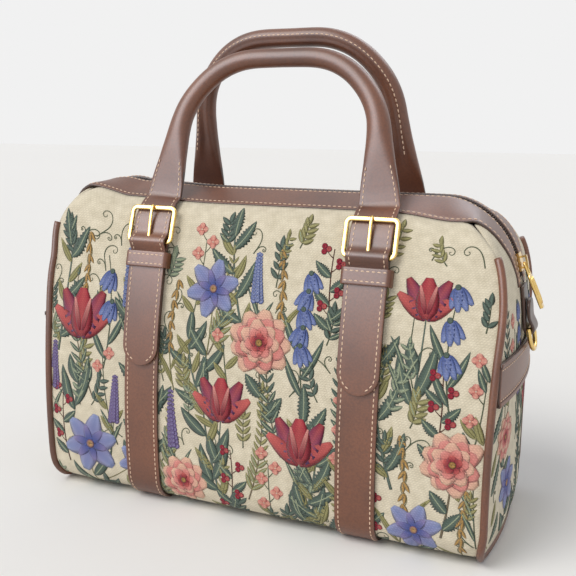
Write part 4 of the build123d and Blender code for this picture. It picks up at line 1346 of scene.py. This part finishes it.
def makeBuckle(faceName, sideName):
    side = -1 if sideName == "left" else 1
    toe, _, _ = faceFrame(faceName, grip["toe"], buckle["toeHeight"])
    heel, _, _ = faceFrame(faceName, grip["heel"], buckle["heelHeight"])
    spacing = np.linalg.norm(toe - heel)
    down = (heel - toe) / spacing
    out = -1 if faceName == "front" else 1
    face = np.cross(acrossBag, down)
    face *= np.sign(face[1]) * out
    origin = (toe + heel) / 2 + [side * sewn["centre"], 0, 0]
    bar, thick = buckle["bar"], buckle["thick"]
    loop = roundedLoop(buckle["width"] / 2 - bar / 2, spacing / 2, buckle["corner"] - bar / 2)
    rings = inPlane(sweepFlat(loop, bar / 2, thick / 2, 3.2, True), origin, acrossBag, down, face)
    points, faces = loft(rings, closed=True)
    piece = turnOut(makePiece("buckle" + faceName.title() + sideName.title(), points, faces, [gold]))
    dress(piece, "bag", "hardware", "buckle_frame_" + faceName + "_" + sideName)
    # the prong curls round the heel bar, passes through the strap and rests on the toe bar
    start = np.array([0, spacing / 2, 0])
    wrapTurn = np.radians(np.linspace(-150, 90, 14))
    curl = [start + [0, buckle["curlRadius"] * math.cos(t), buckle["curlRadius"] * math.sin(t)] for t in wrapTurn]
    over = thick / 2 + buckle["prong"] * 0.42
    reachPoints = [start + [0, -3.0, 1.6], [0, 0, 2.3], [0, -spacing / 2 + 2.5, over + 0.75],
                   [0, -spacing / 2, over + 0.35], [0, -spacing / 2 - 2.0, over - 0.35]]
    path, at = evenly(np.array(curl + reachPoints, float), 1.0)
    path = eased(path, 2)
    upward = np.cross(acrossBag, unit(np.gradient(path, axis=0)))
    taper = np.interp(at, [0, at[-1] * 0.7, at[-1] - 1.2, at[-1]], [1, 1, 0.8, 0.35])
    u, v = squareRound(buckle["prong"] / 2 * taper, buckle["prongHalfThick"] * taper, np.full(len(at), 2.6), 12)
    rings = path[:, None] + acrossBag * u[..., None] + upward[:, None] * v[..., None]
    points, faces = loft(inPlane(rings, origin, acrossBag, down, face))
    piece = turnOut(makePiece("prong" + faceName.title() + sideName.title(), points, faces, [gold]))
    dress(piece, "bag", "hardware", "buckle_prong_" + faceName + "_" + sideName)


def makeKeeper(faceName, sideName):
    side = -1 if sideName == "left" else 1
    origin, down, outward = faceFrame(faceName, grip["keeper"], 0)
    origin = origin + [side * sewn["centre"], 0, 0]
    half, wall = keeper["half"] + keeper["wall"] / 2, keeper["wall"]
    high = keeper["channel"] + wall / 2
    arc = [(half - 2 + 2 * math.cos(t), high - 2 + 2 * math.sin(t)) for t in np.linspace(0, math.pi / 2, 7)]
    leg = [(half, 0.4), (half, 1.6)] + arc + [(x, high) for x in np.linspace(half - 4, 0, 5)]
    loop = np.array(leg + [(-x, z) for x, z in leg[-2::-1]])
    rings = sweepFlat(loop, wall / 2, keeper["wide"] / 2, 9, False, 24)
    points, faces = loft(inPlane(rings, origin, acrossBag, outward, down))
    piece = turnOut(makePiece("keeper" + faceName.title() + sideName.title(), points, faces, [tan]))
    dress(piece, "bag", "leather", "keeper_" + faceName + "_" + sideName)
    for way in (-1, 1):
        run = np.linspace(-half + 1.2, half - 1.2, 40)
        line = origin + run[:, None] * acrossBag + outward * (high + wall / 2) + down * way * 2.9
        bagSeeds.append(seedsAlong(line, np.repeat(outward[None], 40, 0)))


for faceName in ("front", "back"):
    for sideName in ("left", "right"):
        makeBuckle(faceName, sideName)
        makeKeeper(faceName, sideName)
print("buckles made")


# ---- top bands, tapes and teeth

topRun = {
    "endZ": 157.0, "inner": 5.5, "proud": 1.8, "sunk": -0.9, "seams": (2.0, 2.2),
    "tapeAt": 6.9, "tapeHalf": 6.2, "tapeThick": 0.5, "tapeSunk": -1.7,
    "toothPitch": 1.55, "toothAt": 1.75, "toothSize": (2.4, 1.1, 1.4),
}
endQ = wFromZ(topRun["endZ"])
qs = np.linspace(-endQ, endQ, 150)
qz = np.interp(np.abs(qs), outLen, outZ)
outer = bandHalfAt(qz)
centre, half = (outer + topRun["inner"]) / 2, (outer - topRun["inner"]) / 2
for faceName, way in bagFaces:
    place = lambda q, a, h, way=way: onTop(q, way * np.interp(q, qs, centre) + a, h)
    piece = strapPiece("topBand" + faceName.title(), place, qs, half, topRun["proud"], topRun["sunk"],
                       [tan, tanEdge])
    dress(piece, "bag", "leather", "top_band_" + faceName)
    run = np.linspace(-endQ + 2, endQ - 2, 500)
    z = np.interp(np.abs(run), outLen, outZ)
    for at in (topRun["inner"] + topRun["seams"][0], bandHalfAt(z) - topRun["seams"][1]):
        bagSeeds.append(seedsOn(onTop, run, way * at + 0 * run, topRun["proud"] + topRun["sunk"]))
    place = lambda q, a, h, way=way: onTop(q, way * topRun["tapeAt"] + a, h)
    piece = strapPiece("zipTape" + faceName.title(), place, qs, np.full(len(qs), topRun["tapeHalf"]),
                       topRun["tapeThick"], topRun["tapeSunk"], [tapeStuff, tapeStuff])
    dress(piece, "bag", "zip_tape", "zip_tape_" + faceName)
    count = int(2 * endQ / topRun["toothPitch"])
    run = np.linspace(-endQ + 3, endQ - 3, count)
    base, above = (onTop(run, np.full(count, way * topRun["toothAt"]), np.full(count, h)) for h in (-0.15, 0.85))
    teeth = [(base, np.repeat(alongY[None], count, 0), above - base)]
    piece = beadPiece("zipTeeth" + faceName.title(), teeth, *topRun["toothSize"], coilStuff)
    dress(piece, "bag", "zip_coil", "zip_coil_" + faceName)
print("top made")


# ---- piping, end bands, tabs and rings

piping = {"radius": 2.25, "topZ": 179.0}
for sideName, side in sides:
    low = sFromZ(piping["topZ"])
    s = np.linspace(low, 2 * halfLength - low, 230)
    t = folded(s)
    z, y = np.interp(t, secLen, secZ), np.interp(t, secLen, secY)
    x = rimAt(z, y) - 0.4
    centres = onBody(side * x, s, -0.2)
    tangent = unit(np.gradient(centres, axis=0))
    first = unit(np.cross(tangent, [side, 0, 0]))
    second = np.cross(tangent, first)
    angle = np.linspace(0, 2 * math.pi, 16, endpoint=False)
    ring = first[:, None] * np.cos(angle)[None, :, None] + second[:, None] * np.sin(angle)[None, :, None]
    points, faces = loft(centres[:, None] + ring * piping["radius"])
    piece = turnOut(makePiece("piping" + sideName.title(), points, faces, [tan]))
    dress(piece, "bag", "leather", "piping_" + sideName)

endBand = {"low": 98.0, "high": 123.0, "thick": 2.0, "lift": 0.3, "rimThick": 1.1, "rimLift": 1.8, "rimWide": 2.6}
for sideName, side in sides:
    w = [wFromZ(endBand[key]) for key in ("high", "low")]
    middleW, halfW = sum(w) / 2, (w[1] - w[0]) / 2
    reach = float(halfDepthAt(110)) - 1.6
    ys = np.linspace(-reach, reach, 60)
    place = lambda y, a, h, side=side, middleW=middleW: onEnd(side, y, middleW + a, h)
    piece = strapPiece("endBand" + sideName.title(), place, ys, np.full(60, halfW), endBand["thick"],
                       endBand["lift"], [tan, tanEdge])
    dress(piece, "bag", "leather", "end_band_" + sideName)
    for way in (-1, 1):
        lip = halfW - endBand["rimWide"] / 2
        over = lambda y, a, h, way=way, lip=lip, place=place: place(y, way * lip + a, h)
        rim = strapPiece("endBandRim" + sideName.title() + ("Low" if way > 0 else "High"), over, ys,
                         np.full(60, endBand["rimWide"] / 2), endBand["rimThick"], endBand["rimLift"],
                         [tan, tanEdge], 4.0)
        dress(rim, "bag", "leather")
        seam = way * (halfW - endBand["rimWide"] - 1.2)
        bagSeeds.append(seedsOn(place, np.linspace(-reach + 1, reach - 1, 200), seam, 2.35))

tab = {"half": 8.2, "thick": 2.0, "ringX": 161.0, "ringZ": 131.0, "ringWire": 1.4, "topZ": 156.7, "backZ": 149.0}
for sideName, side in sides:
    z = np.linspace(tab["topZ"], tab["ringZ"] + 4, 12)
    down = [(float(endAt(v)) + 1.35, v) for v in z]
    turn = tab["ringWire"] + 0.35 + tab["thick"] / 2
    loop = [(tab["ringX"] + turn * math.cos(t), tab["ringZ"] + turn * math.sin(t))
            for t in np.radians(np.linspace(165, 385, 16))]
    up = [(float(endAt(v)) + 3.75 + 0.4, v) for v in np.linspace(tab["ringZ"] + 6.5, tab["backZ"], 8)]
    path, at = evenly(np.array(down + loop + up), 1.4)
    path = eased(path, 2)
    tangent = unit(np.gradient(path, axis=0))
    facing = np.stack([-tangent[:, 1], tangent[:, 0]], 1)
    half = roundedHalf(at, tab["half"], (at[-1],), 6.0)
    half[:2] = tab["half"]
    u, v = squareRound(half, np.full(len(at), tab["thick"] / 2), np.full(len(at), 8), 24)
    x = path[:, :1] + facing[:, :1] * v
    zz = path[:, 1:] + facing[:, 1:] * v
    points, faces = loft(np.stack([side * x, u, zz], -1))
    piece = turnOut(makePiece("tab" + sideName.title(), points, faces, [darkCalf]))
    dress(piece, "bag", "dark_leather", "end_tab_" + sideName)

dRing = {"wire": 1.4, "half": 10.0, "drop": 13.0, "lean": 12.0}
for sideName, side in sides:
    straight = dRing["drop"] - dRing["half"]
    bow = arcPoints((0, -straight), dRing["half"], 0, -math.pi, 40).tolist()
    top = [(x, 0) for x in np.linspace(-8.4, 8.4, 14)]
    loop = np.array([(10, -1.0), *bow, (-10, -1.0), (-9.5, -0.3), *top, (9.5, -0.3)])
    rings = sweepFlat(loop, dRing["wire"], dRing["wire"], 2, True, 16)
    lean = math.radians(dRing["lean"])
    rise, normal = (np.array([side * x, 0, z]) for x, z in ((-math.sin(lean), math.cos(lean)),
                                                            (math.cos(lean), math.sin(lean))))
    middle = np.array([side * tab["ringX"], 0, tab["ringZ"]])
    points, faces = loft(inPlane(rings, middle, alongY, rise, normal), closed=True)
    piece = turnOut(makePiece("dRing" + sideName.title(), points, faces, [gold]))
    dress(piece, "d_ring_" + sideName, "hardware", "d_ring_" + sideName)
print("ends made")


# ---- zip pull and slider

pull = {"eye": 6.5, "long": 22.0, "thick": 2.0, "lean": 24.0, "at": (155.17, 169.67), "ribs": 5, "ribPitch": 1.45}


def makePull():
    lean = math.radians(pull["lean"])
    down = np.array([math.sin(lean), 0, -math.cos(lean)])
    facing = np.array([math.cos(lean), 0, math.sin(lean)])
    origin = np.array([pull["at"][0], 0, pull["at"][1]])
    laid = lambda rings: inPlane(rings, origin, alongY, down, facing)
    parts = []
    eye = roundedLoop(2.85, 4.0, 1.2, 6) + [0, 3.7]
    parts.append(loft(laid(sweepFlat(eye, 0.75, 0.75, 2, True, 12)), closed=True))
    z = np.array([0, 0.35, 0.9, 1.8, 4, 8, 12, 16, 19, 20.6, 21.5, 22])
    half = np.interp(z, [0, 1.8, 19, 22], [2.6, 3.9, 4.0, 3.2])
    u, v = squareRound(half, np.full(len(z), pull["thick"] / 2), np.full(len(z), 6), 24)
    rings = np.stack([u, np.broadcast_to(z[:, None] + pull["eye"], u.shape), v], -1)
    parts.append(loft(laid(rings)))
    for k in range(pull["ribs"]):
        x = (k - (pull["ribs"] - 1) / 2) * pull["ribPitch"]
        z = np.linspace(pull["eye"] + 2.4, pull["eye"] + pull["long"] - 2.4, 8)
        taper = np.array([0.1, 0.8, 1, 1, 1, 1, 0.8, 0.1])
        u, v = squareRound(0.5 * taper, 0.5 * taper, np.full(8, 2), 10)
        rings = np.stack([u + x, np.broadcast_to(z[:, None], u.shape), v + pull["thick"] / 2], -1)
        parts.append(loft(laid(rings)))
    points, faces, start = [], [], 0
    for p, f in parts:
        points.append(p)
        faces += [tuple(i + start for i in face) for face in f]
        start += len(p)
    piece = turnOut(makePiece("zipPull", np.concatenate(points), faces, [gold]), merge=False)
    dress(piece, "zip_pull", "hardware", "zip_pull")


makePull()

# the frame's own pieces that stay
finishes = {"zip_slider": gold, "base_board": boardStuff, "handle_core_front": liningStuff,
            "handle_core_back": liningStuff}
for name, material in finishes.items():
    for slot in nodes[name].material_slots:
        slot.material = material

sewing = beadPiece("saddleStitches", bagSeeds, stitch["length"], stitch["width"], stitch["height"], thread)
dress(sewing, "bag", "leather")
print("stitches", len(sewing.data.polygons), "faces")


# ---- room, light and camera

room = {"floor": "EBEAE7", "pale": "EFEEEC", "size": 6.0}
floorMesh = bpy.data.meshes.new("floor")
corners = [(x * room["size"], y * room["size"], 0) for x, y in ((-1, -1), (1, -1), (1, 1), (-1, 1))]
floorMesh.from_pydata(corners, [], [(0, 1, 2, 3)])
floor = addObject("floor", floorMesh)
floorStuff, tree, shader = startMaterial("paleFloor", Roughness=0.9)
shader.inputs["Specular IOR Level"].default_value = 0.1
grainy = addNode(tree, "ShaderNodeTexNoise", {"Scale": 3.0, "Detail": 3.0})
base = addNode(tree, "ShaderNodeMix", {0: grainy.outputs["Fac"], 6: rgba(room["floor"]), 7: rgba(room["pale"])},
               data_type="RGBA").outputs[2]
tree.links.new(base, shader.inputs["Base Color"])
floorMesh.materials.append(floorStuff)

world = bpy.data.worlds.new("studio")
bpy.context.scene.world = world
world.use_nodes = True
tree = world.node_tree
tree.nodes.clear()
path = addNode(tree, "ShaderNodeLightPath")
seen = addNode(tree, "ShaderNodeMath", {0: path.outputs["Is Camera Ray"], 1: path.outputs["Is Glossy Ray"]},
               operation="MAXIMUM")
seen = addNode(tree, "ShaderNodeMath", {0: seen.outputs[0], 1: path.outputs["Is Transmission Ray"]},
               operation="MAXIMUM")
soft = addNode(tree, "ShaderNodeBackground", {"Color": (0.96, 0.97, 1.0, 1), "Strength": 0.62})
bright = addNode(tree, "ShaderNodeBackground", {"Color": (1, 1, 1, 1), "Strength": 0.88})
mixed = addNode(tree, "ShaderNodeMixShader", {0: seen.outputs[0], 1: soft.outputs[0], 2: bright.outputs[0]})
addNode(tree, "ShaderNodeOutputWorld", {"Surface": mixed.outputs[0]})


def addLight(name, kind, place, aim, power, colour, **settings):
    light = bpy.data.lights.new(name, kind)
    light.energy, light.color = power, colour
    for key, value in settings.items():
        setattr(light, key, value)
    holder = addObject(name, light)
    holder.location = place
    holder.rotation_euler = (Vector(aim) - Vector(place)).to_track_quat("-Z", "Y").to_euler()


# a broad soft sun keeps the floor even out to its edge; the two cards are only mirrored, by leather and brass
addLight("softSun", "SUN", (-0.6, -0.9, 1.3), (0, 0, 0.1), 1.75, (1.0, 0.985, 0.96), angle=math.radians(35))
cards = {"windowCard": ((-0.54, -1.11, 0.72), 1.1, 0.72, 15.0), "skyCard": ((0.35, 0.9, 1.25), 1.2, 0.8, 9.0)}
for name, (place, wide, high, power) in cards.items():
    addLight(name, "AREA", place, (0, 0, 0.16), power, (0.88, 0.93, 1.0), shape="RECTANGLE", size=wide, size_y=high)
    bpy.data.objects[name].visible_diffuse = False

view = {"place": (0.2170, -0.4960, 0.2532), "yaw": 23.43, "pitch": 11.68, "roll": 0.19, "lens": 51.24}
camera = addObject("camera", bpy.data.cameras.new("camera"))
bpy.context.scene.camera = camera
camera.data.sensor_width = 36.0
camera.data.lens = view["lens"]
camera.data.clip_start = 0.01
yaw, pitch, roll = (math.radians(view[k]) for k in ("yaw", "pitch", "roll"))
forward = Vector((-math.sin(yaw) * math.cos(pitch), math.cos(yaw) * math.cos(pitch), -math.sin(pitch)))
right = Vector((math.cos(yaw), math.sin(yaw), 0))
up = right.cross(forward)
right, up = math.cos(roll) * right + math.sin(roll) * up, -math.sin(roll) * right + math.cos(roll) * up
axes = [[right[i], up[i], -forward[i], view["place"][i]] for i in range(3)]
camera.matrix_world = Matrix(axes + [[0, 0, 0, 1]])

bpy.context.scene.view_settings.view_transform = "Standard"
